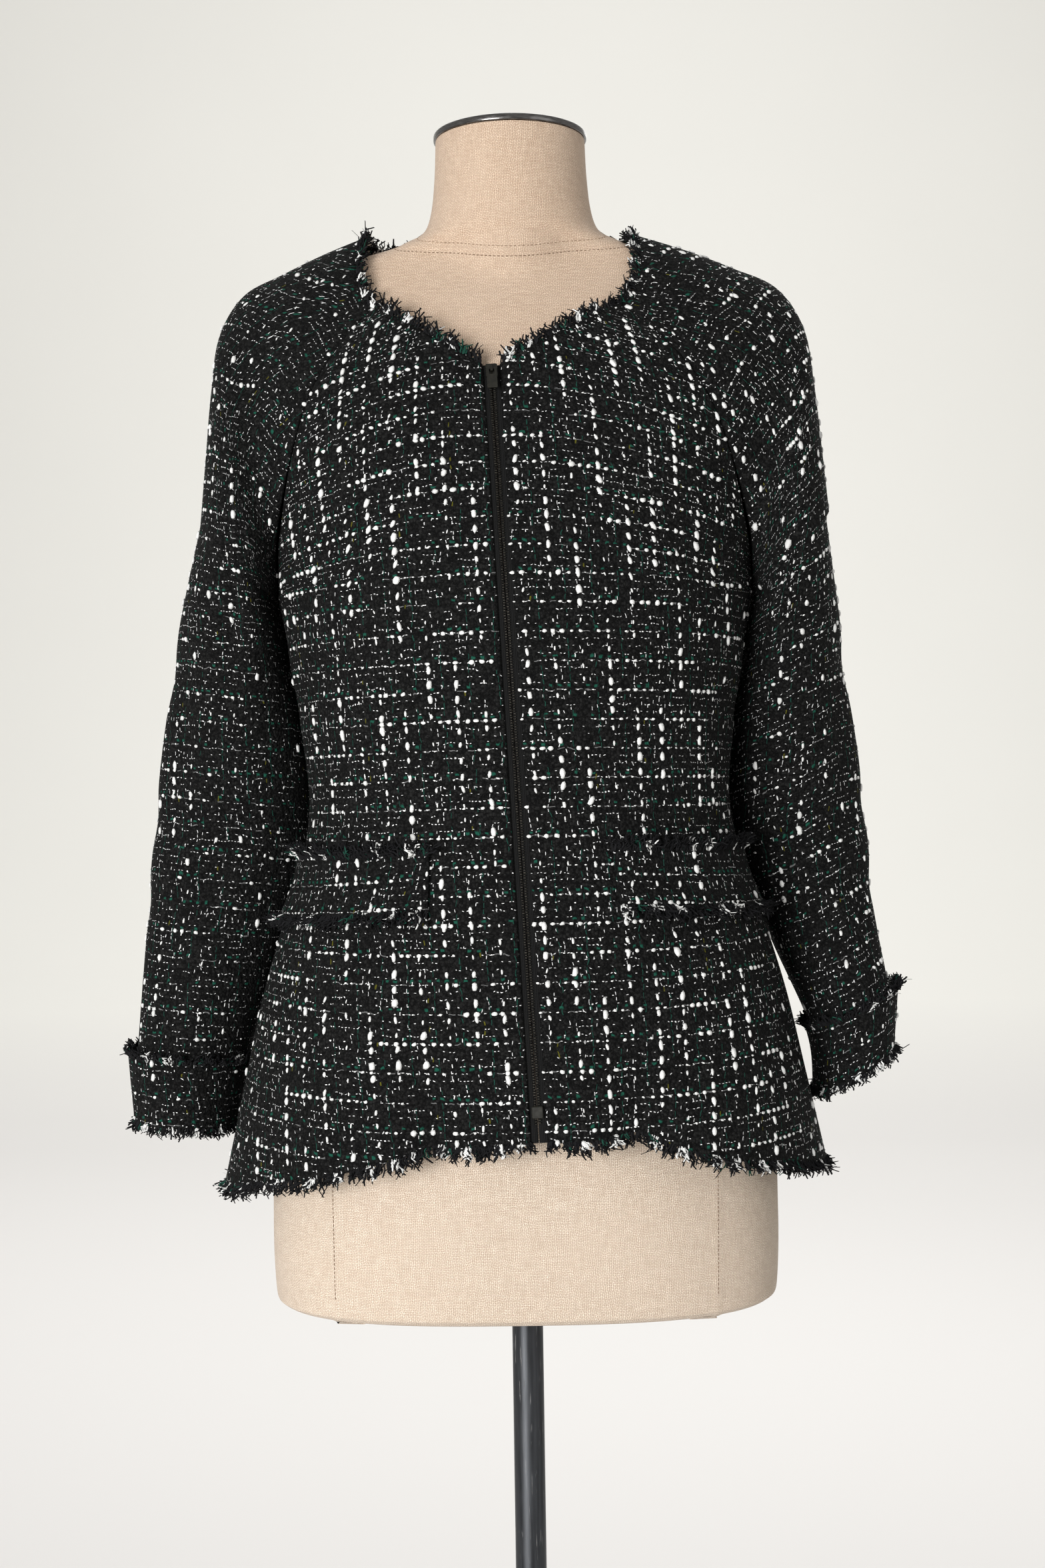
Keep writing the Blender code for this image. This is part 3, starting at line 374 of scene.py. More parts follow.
print("sleeve rings:", len(RIGHT_RINGS), "ridges:", len(RIDGES))

# %% Measures of the folds
Fold = namedtuple("Fold", "across half_width depth top_z lift")
FRONT_FOLDS = {
    "left trough": Fold(-0.066, 0.013, 0.010, 0.890, 0.004),
    "left swell": Fold(-0.125, 0.034, -0.008, 0.880, -0.004),
    "right trough": Fold(0.066, 0.021, 0.010, 0.860, 0.009),
    "right swell": Fold(0.128, 0.034, -0.008, 0.880, -0.003),
}
BACK_FOLDS = {
    "middle trough": Fold(0.010, 0.026, 0.009, 0.880, 0.005),
    "left swell": Fold(-0.070, 0.034, -0.008, 0.900, -0.003),
    "right swell": Fold(0.082, 0.034, -0.008, 0.890, -0.003),
}
Crease = namedtuple("Crease", "z slope half_width depth")
SLEEVE_CREASES = {
    "bicep": Crease(1.060, 0.35, 0.018, 0.0022),
    "elbow": Crease(0.975, -0.30, 0.016, 0.0022),
    "forearm": Crease(0.915, 0.25, 0.014, 0.0016),
}
LEAN_FOOT, LEAN_TOP = 0.009, -0.014  # sideways drift of the middle line
LEAN_FOOT_Z, LEAN_TOP_Z = 0.768, 1.256
LEAN_REACH = 0.115
DROP_LEFT, DROP_RIGHT = 0.014, 0.004  # how much lower each side hangs
DROP_FOOT_Z, DROP_TOP_Z = 0.74, 1.08
DROP_REACH = 0.20
print("folds:", len(FRONT_FOLDS) + len(BACK_FOLDS), "creases:", len(SLEEVE_CREASES))


# %% Curves
def read_rows(table, places):
    """Rows at fractional row numbers of a table, on a smooth curve through its rows."""
    rows = np.array(list(table.values()), float)
    last = len(rows) - 1
    found = []
    for place in places:
        i = min(int(place), last - 1)
        f = place - i
        a, b, c, d = (rows[min(max(k, 0), last)] for k in (i - 1, i, i + 1, i + 2))
        curve = 2 * b + (c - a) * f + (2 * a - 5 * b + 4 * c - d) * f**2 + (3 * b - a - 3 * c + d) * f**3
        found.append(0.5 * curve)
    kind = type(next(iter(table.values())))
    return [kind(*row) for row in found]


def unit(vectors):
    return vectors / np.maximum(np.linalg.norm(vectors, axis=-1), 1e-12)[..., None]


def lengths_along(points):
    return np.concatenate([[0], np.cumsum(np.linalg.norm(np.diff(points, axis=0), axis=1))])


def at_lengths(wanted, along, values):
    """Points or directions of a line at some lengths along it."""
    return np.stack([np.interp(wanted, along, values[:, k]) for k in range(3)], axis=1)


EDGE_STOPS = np.array([0.0002, 0.0014, 0.0030])  # distances from a sewn edge of its first columns
STOP_GAP = 0.0022  # from the last of these to the even columns


def spread(points, count, start=EDGE_STOPS, end=EDGE_STOPS):
    """Points along a line: evenly spaced, with a few more close to its sewn ends."""
    along = lengths_along(points)
    first = start[-1] + STOP_GAP if len(start) else 0
    last = along[-1] - (end[-1] + STOP_GAP if len(end) else 0)
    wanted = np.concatenate([start, np.linspace(first, last, count + 1), along[-1] - end[::-1]])
    return at_lengths(wanted, along, points)


def body_curve(middle, side, sweep, roundness):
    """Half of a body section, from its middle out to a seam: part of a superellipse."""
    angle = np.linspace(0, math.radians(sweep), FINE)
    out = np.sin(angle) ** (2 / roundness)
    deep = np.maximum(np.cos(angle), 0) ** (2 / roundness)
    across = out / out[-1]
    depth = (deep - deep[-1]) / (1 - deep[-1])
    rise = across ** (1 + max(sweep - NECK_SWEEP, 0) / (90 - NECK_SWEEP))
    return np.stack(
        [
            middle[0] + (side[0] - middle[0]) * across,
            side[1] + (middle[1] - side[1]) * depth,
            middle[2] + (side[2] - middle[2]) * rise,
        ],
        axis=1,
    )


# %% Folds and lean
def fold_body(points, folds):
    """Presses the folds into a body section. They deepen towards the hem and leave the seam as it is."""
    points = points.copy()
    free = 1 - np.linspace(0, 1, len(points)) ** 4
    hem_z = SECTIONS["hem"].front_z
    outward = unit(points * [1, 1, 0])
    for fold in folds.values():
        near = np.exp(-(((points[:, 0] - fold.across) / fold.half_width) ** 2))
        grown = np.clip((fold.top_z - points[:, 2]) / (fold.top_z - hem_z), 0, 1)
        grown = grown * grown * (3 - 2 * grown) * free
        points -= outward * (near * grown * fold.depth)[:, None]
        points[:, 2] += near * grown * fold.lift
    return points


def lean(points):
    """The askew set of the jacket on its form: the middle drifts sideways and the left side hangs lower."""
    share = (points[..., 2] - LEAN_FOOT_Z) / (LEAN_TOP_Z - LEAN_FOOT_Z)
    drift = LEAN_FOOT + (LEAN_TOP - LEAN_FOOT) * np.clip(share, 0, 1.15)
    moved = points.copy()
    moved[..., 0] += drift * np.exp(-((points[..., 0] / LEAN_REACH) ** 2))
    low = np.clip((DROP_TOP_Z - points[..., 2]) / (DROP_TOP_Z - DROP_FOOT_Z), 0, 1)
    left = np.clip(-points[..., 0] / DROP_REACH, 0, 1.3)
    right = np.clip(points[..., 0] / DROP_REACH, 0, 1.3)
    moved[..., 2] -= low * (DROP_LEFT * left + DROP_RIGHT * right)
    return moved


def mirrored(points):
    return points * [-1, 1, 1]


# %% Curves of front, back and sleeve
def front_curve(section, side):
    """A front's section, from the zip to its seam. side is 1 on the picture's right, -1 on its left."""
    middle = (ZIP_GAP / 2, section.zip_y, section.zip_z)
    seam = (section.front_x, section.front_y, section.front_z)
    curve = body_curve(middle, seam, section.front_sweep, FRONT_ROUND)
    return fold_body(curve if side > 0 else mirrored(curve), FRONT_FOLDS)


def back_curve(section, side):
    """Half a section of the back, from the spine to its seam."""
    middle = (0, section.spine_y, section.spine_z)
    seam = (section.back_x, section.back_y, section.back_z)
    curve = body_curve(middle, seam, section.back_sweep, BACK_ROUND)
    return fold_body(curve if side > 0 else mirrored(curve), BACK_FOLDS)


def arc(start, start_handle, end_handle, end):
    """Points on a Bezier curve."""
    t = np.linspace(0, 1, FINE)[:, None]
    p0, p3 = np.array(start), np.array(end)
    p1, p2 = p0 + start_handle, p3 + end_handle
    return (1 - t) ** 3 * p0 + 3 * t * (1 - t) ** 2 * p1 + 3 * t**2 * (1 - t) * p2 + t**3 * p3


def heading(curve):
    """Unit direction at the end of a curve."""
    return unit(curve[-1] - curve[-5])


# %% [markdown]
# ### Grids of the panels
# Rows run up and columns run anticlockwise as seen from above, so the cross product of the two points out
# of the cloth. Rows of the yoke are spaced evenly on the overarm line, since that is where they lie
# furthest apart.

# %% Panel grids
FRONT_COLUMNS = 50
BACK_COLUMNS = 50  # on each side of the spine
SLEEVE_COLUMNS = 36  # on each side of the overarm line
CAP_STEPS = 66
BODY_PLACES = np.linspace(0, UNDERARM, 96)
SLEEVE_PLACES = np.linspace(0, len(RIGHT_RINGS) - 1, 92)
NO_STOPS = np.array([])
SEWN_SHUT = np.array([0.0, 0.0014, 0.0030])

overarm_places = np.linspace(0, len(RIDGES) - 1, 351)
overarm_along = lengths_along(np.array(read_rows(RIDGES, overarm_places))[:, :3])
cap_lengths = np.linspace(0, overarm_along[-1], CAP_STEPS + 1)[1:]
CAP_PLACES = np.interp(cap_lengths, overarm_along, overarm_places)
BODY_ROWS = read_rows(SKIRT, BODY_PLACES) + read_rows(CAP, CAP_PLACES)
CAP_ROWS = list(zip(read_rows(CAP, CAP_PLACES), read_rows(RIDGES, CAP_PLACES)))


def sleeve_ring(ring):
    """One ring of a hanging sleeve, from the underarm seam round the front to the seam again."""
    inner = (ring.inner_x, ring.middle_y, ring.inner_z)
    outer = (ring.outer_x, ring.middle_y, ring.outer_z)
    bulge = np.array([0, ring.half_depth * 4 / 3, 0])
    front = spread(arc(inner, -bulge, -bulge, outer), SLEEVE_COLUMNS, SEWN_SHUT, NO_STOPS)
    back = spread(arc(outer, bulge, bulge, inner), SLEEVE_COLUMNS, NO_STOPS, SEWN_SHUT)
    points = np.concatenate([front, back[1:]])
    middle = points[:-1].mean(axis=0)
    for crease in SLEEVE_CREASES.values():
        z = points[:, 2] + crease.slope * (points[:, 1] - middle[1])
        near = np.exp(-(((z - crease.z) / crease.half_width) ** 2)) * crease.depth
        points = points + unit((middle - points) * [1, 1, 0]) * near[:, None]
    return points


def cap_curve(section, ridge):
    """One section of the sleeve's cap, from the front raglan seam over the shoulder to the back one."""
    front_seam = (section.front_x, section.front_y, section.front_z)
    back_seam = (section.back_x, section.back_y, section.back_z)
    top = (ridge.x, ridge.y, ridge.z)
    forward = np.array([0, -1, 0])
    front_way = (1 - ridge.fold) * heading(front_curve(section, 1)) + ridge.fold * forward
    back_way = (1 - ridge.fold) * heading(back_curve(section, 1)) - ridge.fold * forward
    over = ridge.ridge_pull * forward
    front = arc(front_seam, ridge.front_pull * front_way, over, top)
    back = arc(top, -over, ridge.back_pull * back_way, back_seam)
    front = spread(front, SLEEVE_COLUMNS, EDGE_STOPS, NO_STOPS)
    back = spread(back, SLEEVE_COLUMNS, NO_STOPS, EDGE_STOPS)
    return np.concatenate([front, back[1:]])


def front_grid(side):
    grid = lean(np.array([spread(front_curve(section, side), FRONT_COLUMNS) for section in BODY_ROWS]))
    return grid if side > 0 else grid[:, ::-1]


def back_grid():
    rows = []
    for section in BODY_ROWS:
        right = spread(back_curve(section, 1), BACK_COLUMNS, NO_STOPS, EDGE_STOPS)
        left = spread(back_curve(section, -1), BACK_COLUMNS, NO_STOPS, EDGE_STOPS)
        rows.append(np.concatenate([right[::-1], left[1:]]))
    return lean(np.array(rows))


def sleeve_grid(side):
    rings = read_rows(RIGHT_RINGS if side > 0 else LEFT_RINGS, SLEEVE_PLACES)
    rows = [sleeve_ring(ring) for ring in rings] + [cap_curve(*pair) for pair in CAP_ROWS]
    grid = np.array(rows)
    return lean(grid) if side > 0 else lean(mirrored(grid))[:, ::-1]


def normals_of(grid):
    return unit(np.cross(np.gradient(grid, axis=1), np.gradient(grid, axis=0)))


def weave_of(grid, column, row):
    """The cloth's own measures: how far each point is across from a column and up from a row, in metres."""
    across = np.linalg.norm(np.diff(grid, axis=1, prepend=grid[:, :1]), axis=2).cumsum(axis=1)
    up = np.linalg.norm(np.diff(grid, axis=0, prepend=grid[:1]), axis=2).cumsum(axis=0)
    return np.stack([across - across[:, [column]], up - up[[row]]], axis=2)


# %% [markdown]
# Long soft creases run down the sleeves and out from the underarms. Each is a line on the front view with
# a width and a depth, pressed into the cloth along its normals. Beside a seam the cloth dips.

# %% Creases and seam dips
Press = namedtuple("Press", "x1 z1 x2 z2 half_width depth")
PRESSES = {
    "front_left": [
        Press(-0.150, 1.090, -0.105, 1.150, 0.012, 0.0030),
        Press(-0.150, 1.040, -0.110, 1.075, 0.010, 0.0020),
        Press(-0.120, 0.900, -0.060, 0.862, 0.011, 0.0020),
        Press(-0.035, 0.830, -0.030, 0.760, 0.009, 0.0025),
    ],
    "front_right": [
        Press(0.150, 1.090, 0.108, 1.145, 0.012, 0.0030),
        Press(0.150, 1.030, 0.115, 1.066, 0.010, 0.0020),
        Press(0.125, 0.905, 0.070, 0.872, 0.011, 0.0020),
        Press(0.105, 0.830, 0.112, 0.755, 0.010, 0.0025),
    ],
    "back": [
        Press(-0.140, 1.070, -0.040, 1.035, 0.014, 0.0030),
        Press(0.140, 1.075, 0.050, 1.030, 0.014, 0.0030),
        Press(-0.090, 1.000, 0.080, 0.990, 0.014, 0.0025),
    ],
    "sleeve_left": [
        Press(-0.178, 1.170, -0.200, 1.040, 0.010, 0.0040),
        Press(-0.222, 1.080, -0.236, 0.955, 0.011, 0.0035),
        Press(-0.195, 0.960, -0.226, 0.905, 0.010, 0.0035),
        Press(-0.236, 0.930, -0.242, 0.845, 0.010, 0.0030),
    ],
    "sleeve_right": [
        Press(0.176, 1.160, 0.196, 1.035, 0.010, 0.0040),
        Press(0.216, 1.070, 0.226, 0.960, 0.011, 0.0035),
        Press(0.188, 0.955, 0.218, 0.915, 0.010, 0.0035),
        Press(0.226, 0.930, 0.233, 0.870, 0.010, 0.0030),
    ],
}
SEAM_DIP = 0.0010
SEAM_REACH = 0.0018


def press(grid, presses):
    """Presses creases into a grid along its normals."""
    normals = normals_of(grid)
    depth = np.zeros(grid.shape[:2])
    for line in presses:
        start, end = np.array([line.x1, line.z1]), np.array([line.x2, line.z2])
        way = end - start
        place = grid[..., [0, 2]] - start
        share = np.clip((place @ way) / (way @ way), 0, 1)
        far = np.linalg.norm(place - share[..., None] * way, axis=2)
        soft_ends = np.sin(np.pi * (0.12 + 0.76 * share))
        depth += line.depth * np.exp(-((far / line.half_width) ** 2)) * soft_ends
    return grid - normals * depth[..., None]


def dip_seams(grid):
    """Rolls the first and last columns in, where the cloth goes down into a seam."""
    across = weave_of(grid, 0, 0)[..., 0]
    near = np.minimum(across, across[:, [-1]] - across)
    return grid - normals_of(grid) * (SEAM_DIP * np.exp(-((near / SEAM_REACH) ** 2)))[..., None]


PLAIN = {
    "front_left": front_grid(-1),
    "front_right": front_grid(1),
    "back": back_grid(),
    "sleeve_left": sleeve_grid(-1),
    "sleeve_right": sleeve_grid(1),
}
GRIDS = {name: dip_seams(press(grid, PRESSES[name])) for name, grid in PLAIN.items()}
NORMALS = {name: normals_of(grid) for name, grid in GRIDS.items()}
WAIST_ROW = int(np.argmin(abs(BODY_PLACES - list(SECTIONS).index("waist"))))
OVERARM = len(SEWN_SHUT) + SLEEVE_COLUMNS
WEAVES = {
    "front_left": weave_of(PLAIN["front_left"], -1, WAIST_ROW),
    "front_right": weave_of(PLAIN["front_right"], 0, WAIST_ROW),
    "back": weave_of(PLAIN["back"], len(EDGE_STOPS) + BACK_COLUMNS, WAIST_ROW),
    "sleeve_left": weave_of(PLAIN["sleeve_left"], OVERARM, 0),
    "sleeve_right": weave_of(PLAIN["sleeve_right"], OVERARM, 0),
}
print("grids:", {name: grid.shape[:2] for name, grid in GRIDS.items()})

# %% [markdown]
# ### Sewing the panels
# A panel starts as Blender's own grid. Its points take their places from the array, a sleeve is sewn shut
# by merging doubles, and Solidify gives the cloth its thickness towards the inside.


# %% Cloth panels
MERGE = 0.00001  # metres within which two points become one


def mesh_from(name, grid, weave, merge):
    """A piece from Blender's own grid, with its points at their places and its weave map in metres."""
    rows, columns = grid.shape[:2]
    deselect()
    bpy.ops.mesh.primitive_grid_add(x_subdivisions=columns - 1, y_subdivisions=rows - 1, size=1)
    piece = bpy.context.object
    piece.name = piece.data.name = name
    mesh = piece.data
    mesh.vertices.foreach_set("co", grid.reshape(-1))
    corners = np.empty(len(mesh.loops), int)
    mesh.loops.foreach_get("vertex_index", corners)
    mesh.uv_layers[0].name = "Weave"
    mesh.uv_layers[0].data.foreach_set("uv", weave.reshape(-1, 2)[corners].reshape(-1))
    mesh.update()
    if merge:
        bpy.ops.object.mode_set(mode="EDIT")
        bpy.ops.mesh.select_all(action="SELECT")
        bpy.ops.mesh.remove_doubles(threshold=MERGE)
        bpy.ops.object.mode_set(mode="OBJECT")
    return piece


def sheet_from(name, grid, weave, finish, thickness, merge=False):
    """A sheet of cloth: a wall that grows inwards from its face."""
    piece = mesh_from(name, grid, weave, merge)
    wall = piece.modifiers.new("Wall", "SOLIDIFY")
    wall.thickness = thickness
    wall.offset = -1
    bpy.ops.object.modifier_apply(modifier="Wall")
    bpy.ops.object.shade_smooth()
    piece.data.materials.append(finish)
    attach(piece, BODY)
    return piece


def sew(name, merge):
    """Makes a piece of tweed, which stands for the solid of the same name."""
    sheet_from("tweed_" + name, GRIDS[name], WEAVES[name], TWEED, WALL, merge)
    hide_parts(name)


for name in GRIDS:
    sew(name, merge="sleeve" in name)

# %% [markdown]
# ### Cuffs and pocket strips
# A cuff is a strip round the end of the sleeve and a pocket strip is one across the front. Both are made
# from the points of the cloth they lie on, moved out, and their free edges stand off a little.

# %% Cuffs and pocket strips
LAID = 0.0006  # gap under a strip
STRIP_ROWS = 12
STRIP_SHIFT = 0.004  # how far a strip's weave is out of step with the cloth under it
CUFF_FLARE = 0.004
CUFF_INNER = 0.25  # share of the flare that is left beside the body
CUFF_ROWS = int(np.searchsorted(SLEEVE_PLACES, list(RIGHT_RINGS).index("cuff"))) + 1
POCKET_LIFT = 0.0012
POCKET_START = 0.25  # share of the front where a pocket strip starts, from the zip
pocket_places = [list(SECTIONS).index(name) for name in ("pocket low", "pocket high")]
pocket_low, pocket_high = np.searchsorted(BODY_PLACES, pocket_places)
POCKET_ROWS = slice(int(pocket_low), int(pocket_high) + 1)


def finer(values, rows):
    """The same grid with more rows."""
    wanted = np.linspace(0, len(values) - 1, rows)
    i = np.minimum(wanted.astype(int), len(values) - 2)
    f = (wanted - i)[:, None, None]
    return values[i] * (1 - f) + values[i + 1] * f


def cuff_grid(side):
    """Outer face of a cuff: the end of its sleeve moved out, and flared where it is away from the body."""
    name = "sleeve_right" if side > 0 else "sleeve_left"
    points = finer(GRIDS[name][:CUFF_ROWS], STRIP_ROWS)
    normals = unit(NORMALS[name][:CUFF_ROWS].mean(axis=0))
    normals = np.repeat(normals[None], STRIP_ROWS, axis=0)
    outer_side = CUFF_INNER + (1 - CUFF_INNER) * (1 + side * normals[..., 0]) / 2
    flare = np.linspace(0, 1, STRIP_ROWS)[:, None] ** 2
    return points + normals * (LAID + WALL + CUFF_FLARE * flare * outer_side)[..., None]


def pocket_grid(side):
    """Outer face of a pocket strip, from the front to the side seam."""
    name = "front_right" if side > 0 else "front_left"
    skip = int(POCKET_START * GRIDS[name].shape[1])
    columns = slice(skip, -1) if side > 0 else slice(1, -skip)
    points = finer(GRIDS[name][POCKET_ROWS, columns], STRIP_ROWS)
    normals = unit(finer(NORMALS[name][POCKET_ROWS, columns], STRIP_ROWS))
    lift = LAID + WALL + POCKET_LIFT * np.linspace(-1, 1, STRIP_ROWS)[:, None] ** 2
    return points + normals * lift[..., None]


for side, word in ((-1, "left"), (1, "right")):
    for kind, make in (("cuff", cuff_grid), ("pocket", pocket_grid)):
        name = f"{kind}_{word}"
        GRIDS[name] = make(side)
        NORMALS[name] = normals_of(GRIDS[name])
        WEAVES[name] = weave_of(GRIDS[name], GRIDS[name].shape[1] // 2, 0) + STRIP_SHIFT
        sew(name, merge=kind == "cuff")

# %% [markdown]
# ## White slubs
# The white yarn swells into soft lumps where it crosses to the face: twice for each weft repeat on the
# upright threads and three times for each warp repeat on the level ones, in runs that swell and fade.
# Each lump is a small rough pebble, flattened against the cloth. Thousands are needed, so one pebble is
# copied by arrays.

# %% Slub helpers
PEBBLE_RINGS = ((-0.70, 0.66), (0.0, 0.95), (0.68, 0.70))  # place along it and radius
PEBBLE_SIDES = 5


def pebble():
    """Points and faces of one lump, a unit long each way from its middle along X."""
    points = [(-1.0, 0.0, 0.0)]
    for i, (x, radius) in enumerate(PEBBLE_RINGS):
        for k in range(PEBBLE_SIDES):
            turn = 2 * math.pi * (k + 0.5 * i) / PEBBLE_SIDES
            points.append((x, radius * math.cos(turn), radius * math.sin(turn)))
    points.append((1.0, 0.0, 0.0))
    faces = []
    for k in range(PEBBLE_SIDES):
        m = (k + 1) % PEBBLE_SIDES
        faces.append((0, 1 + m, 1 + k))
        for i in range(len(PEBBLE_RINGS) - 1):
            low, high = 1 + i * PEBBLE_SIDES, 1 + (i + 1) * PEBBLE_SIDES
            faces += [(low + k, low + m, high + k), (low + m, high + m, high + k)]
        last = 1 + (len(PEBBLE_RINGS) - 1) * PEBBLE_SIDES
        faces.append((last + k, last + m, len(points) - 1))
    return np.array(points), np.array(faces)


def copied_faces(faces, count, each, start=0):
    """Faces of many copies of a shape that has that many points each."""
    starts = start + np.arange(count) * each
    return (faces[None] + starts[:, None, None]).reshape(-1, faces.shape[1])


def new_piece(name, points, faces, finish):
    """One mesh from a list of points and a list of faces."""
    mesh = bpy.data.meshes.new(name)
    mesh.from_pydata(points.tolist(), [], faces.tolist() if isinstance(faces, np.ndarray) else faces)
    mesh.update()
    mesh.materials.append(finish)
    piece = bpy.data.objects.new(name, mesh)
    bpy.context.scene.collection.objects.link(piece)
    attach(piece, BODY)
    return piece


def dyed_piece(name, points, faces, dye):
    """A smooth mesh of loose yarn with a colour for each point."""
    piece = new_piece(name, points, faces, YARN)
    colours = piece.data.attributes.new("Dye", "FLOAT_COLOR", "POINT")
    colours.data.foreach_set("color", np.ravel(dye))
    piece.data.shade_smooth()
    return piece


def thread_line(measure, other, value):
    """Where the thread at one value of a measure crosses each row of a grid, and how far along that is."""
    columns = np.arange(measure.shape[1])
    rows = np.nonzero((measure[:, 0] < value) & (value < measure[:, -1]))[0]
    places = np.array([np.interp(value, measure[i], columns) for i in rows])
    along = np.array([np.interp(place, columns, other[i]) for i, place in zip(rows, places)])
    return rows, places, along


def sample(values, rows, columns):
    """Values of a grid at fractional rows and columns."""
    i = np.clip(rows.astype(int), 0, values.shape[0] - 2)
    j = np.clip(columns.astype(int), 0, values.shape[1] - 2)
    f, g = (rows - i)[:, None], (columns - j)[:, None]
    low = values[i, j] * (1 - g) + values[i, j + 1] * g
    high = values[i + 1, j] * (1 - g) + values[i + 1, j + 1] * g
    return low * (1 - f) + high * f


# %% Places of the slubs
Slub = namedtuple("Slub", "step pitch thin thick short long present")
WARP_SLUB = Slub(WARP_STEP / 1000, 0.0095, 0.0011, 0.0036, 0.0028, 0.0058, 0.93)
WEFT_SLUB = Slub(WEFT_STEP / 1000, 0.00577, 0.0010, 0.0031, 0.0017, 0.0035, 0.76)
WHITE_PHASE = 0.35  # place of the white thread in its step
# Fewer slubs on the sleeves and cuffs, fewest on the left: partly the cloth's own, partly painted shade.
PLENTY = {"sleeve_left": 0.37, "sleeve_right": 0.54, "cuff_left": 0.22, "cuff_right": 0.42}
FAINT = 0.45  # how often a lump shows where the yarn is thin
LONG_RUN, SHORT_RUN = 0.155, 0.068  # metres from one swelling of the yarn to the next
BIG_SHARE, BIG_WIDTH, BIG_LENGTH = 0.16, 1.22, 1.12


def swelling(stations):
    """How thick the yarn is at each station, from 0 to 1."""
    phase = chance.uniform(0, 1, 2)
    long_run = 0.62 * np.sin(2 * np.pi * (stations / LONG_RUN + phase[0]))
    short_run = 0.35 * np.sin(2 * np.pi * (stations / SHORT_RUN + phase[1]))
    return np.clip(0.36 + long_run + (short_run + chance.normal(0, 0.18, len(stations))), 0, 1)


def slub_places(name, upright):
    """Rows, columns, widths and lengths of the lumps on a panel's upright or level white threads."""
    across, up = WEAVES[name][..., 0], WEAVES[name][..., 1]
    measure, other = (across, up) if upright else (up.T, across.T)
    kind = WARP_SLUB if upright else WEFT_SLUB
    found = []
    first = math.ceil(measure.min() / kind.step - WHITE_PHASE)
    for k in range(first, int(measure.max() / kind.step) + 1):
        rows, places, along = thread_line(measure, other, (k + WHITE_PHASE) * kind.step)
        if len(rows) < 3:
            continue
        stations = np.arange(math.ceil(along[0] / kind.pitch), along[-1] / kind.pitch)
        stations = (stations + chance.normal(0, 0.08, len(stations))) * kind.pitch
        swell = swelling(stations)
        share = kind.present * PLENTY.get(name, 1) * np.where(swell > 0.02, 1, FAINT)
        keep = chance.uniform(0, 1, len(stations)) < share
        stations, swell = stations[keep], swell[keep]
        count = len(stations)
        big = (chance.uniform(0, 1, count) < BIG_SHARE) & (swell > 0.6)
        width = (kind.thin + (kind.thick - kind.thin) * swell) * chance.uniform(0.85, 1.15, count)
        length = (kind.short + (kind.long - kind.short) * swell) * chance.uniform(0.85, 1.15, count)
        width = np.where(big, width * BIG_WIDTH, width)
        length = np.where(big, length * BIG_LENGTH, length)
        row = np.interp(stations, along, rows)
        column = np.interp(stations, along, places)
        found.append(np.stack([row, column, width, length], axis=1))
    found = np.concatenate(found)
    return found if upright else found[:, [1, 0, 2, 3]]


# %% Slubs on every panel
SLUB_SINK = 0.14  # share of a lump's width that its middle stands above the cloth
SLUB_FLAT = 0.60
SLUB_ENDS = 0.55  # brightness of a lump's two ends
# Slubs are thinned out where a side turns away from the light, as painted shade.
SHADE_FACING_LOW, SHADE_FACING_REACH = 0.12, 0.60  # how far a side has to face out to keep its slubs
SHADE_SLUB_SHARE = 0.10  # share of the slubs that stays on sides in painted shade


def kept_out_of_shade(name, out):
    """Which lumps stay: few under the arms and on the sleeves' inner sides, a painted shade there."""
    if "sleeve" in name or "cuff" in name:
        facing = 1 - abs(np.minimum(out[:, 0] * (1 if "right" in name else -1), 0))
    else:
        facing = abs(out[:, 1])
    kept = np.clip((facing - SHADE_FACING_LOW) / SHADE_FACING_REACH, 0, 1)
    return chance.uniform(0, 1, len(out)) < SHADE_SLUB_SHARE + (1 - SHADE_SLUB_SHARE) * kept


def slubs(name):
    """All the white lumps of one panel as one mesh."""
    grid, normals = GRIDS[name], NORMALS[name]
    shape, faces = pebble()
    points, all_faces, count = [], [], 0
    for upright in (True, False):
        spots = slub_places(name, upright)
        spots = spots[kept_out_of_shade(name, unit(sample(normals, spots[:, 0], spots[:, 1])))]
        rows, columns = spots[:, 0], spots[:, 1]
        way = unit(sample(np.gradient(grid, axis=0 if upright else 1), rows, columns))
        out = unit(sample(normals, rows, columns))
        side = unit(np.cross(out, way))
        tilt = chance.normal(0, 0.16, len(spots))[:, None]
        way, side = way * np.cos(tilt) + side * np.sin(tilt), side * np.cos(tilt) - way * np.sin(tilt)
        rough = 1 + chance.normal(0, 0.11, (len(spots), len(shape), 1))
        local = shape[None] * rough
        half_width, half_length = spots[:, 2, None, None] / 2, spots[:, 3, None, None] / 2
        middle = sample(grid, rows, columns) + out * (spots[:, 2] * SLUB_SINK)[:, None]
        placed = middle[:, None] + way[:, None] * local[..., :1] * half_length
        aside = side[:, None] * local[..., 1:2] * half_width
        placed += aside + out[:, None] * local[..., 2:] * half_width * SLUB_FLAT
        points.append(placed.reshape(-1, 3))
        all_faces.append(copied_faces(faces, len(spots), len(shape), count))
        count += len(spots) * len(shape)
    points = np.concatenate(points)
    lump_level = chance.uniform(0.86, 1.0, (len(points) // len(shape), 1))
    level = lump_level * chance.uniform(0.82, 1.0, (1, len(shape)))
    level[:, [0, -1]] *= SLUB_ENDS
    dye = np.array(WHITE_DYE) * level.reshape(-1, 1)
    piece = dyed_piece("white_slubs_" + name, points, np.concatenate(all_faces), dye)
    return piece


white_slubs = {name: slubs(name) for name in GRIDS}
print("slub faces:", sum(len(piece.data.polygons) for piece in white_slubs.values()))

# %% [markdown]
# ## Frayed edges
# Hem, neckline, cuffs and pocket strips end in loose threads. Black threads stand in bunches a few
# millimetres apart, and every white or green yarn of the weave ends in its own fluffy lock. A thread is a
# curly blunt tube, closed at both ends; all the threads of an edge are one mesh, since there are
# thousands of them.

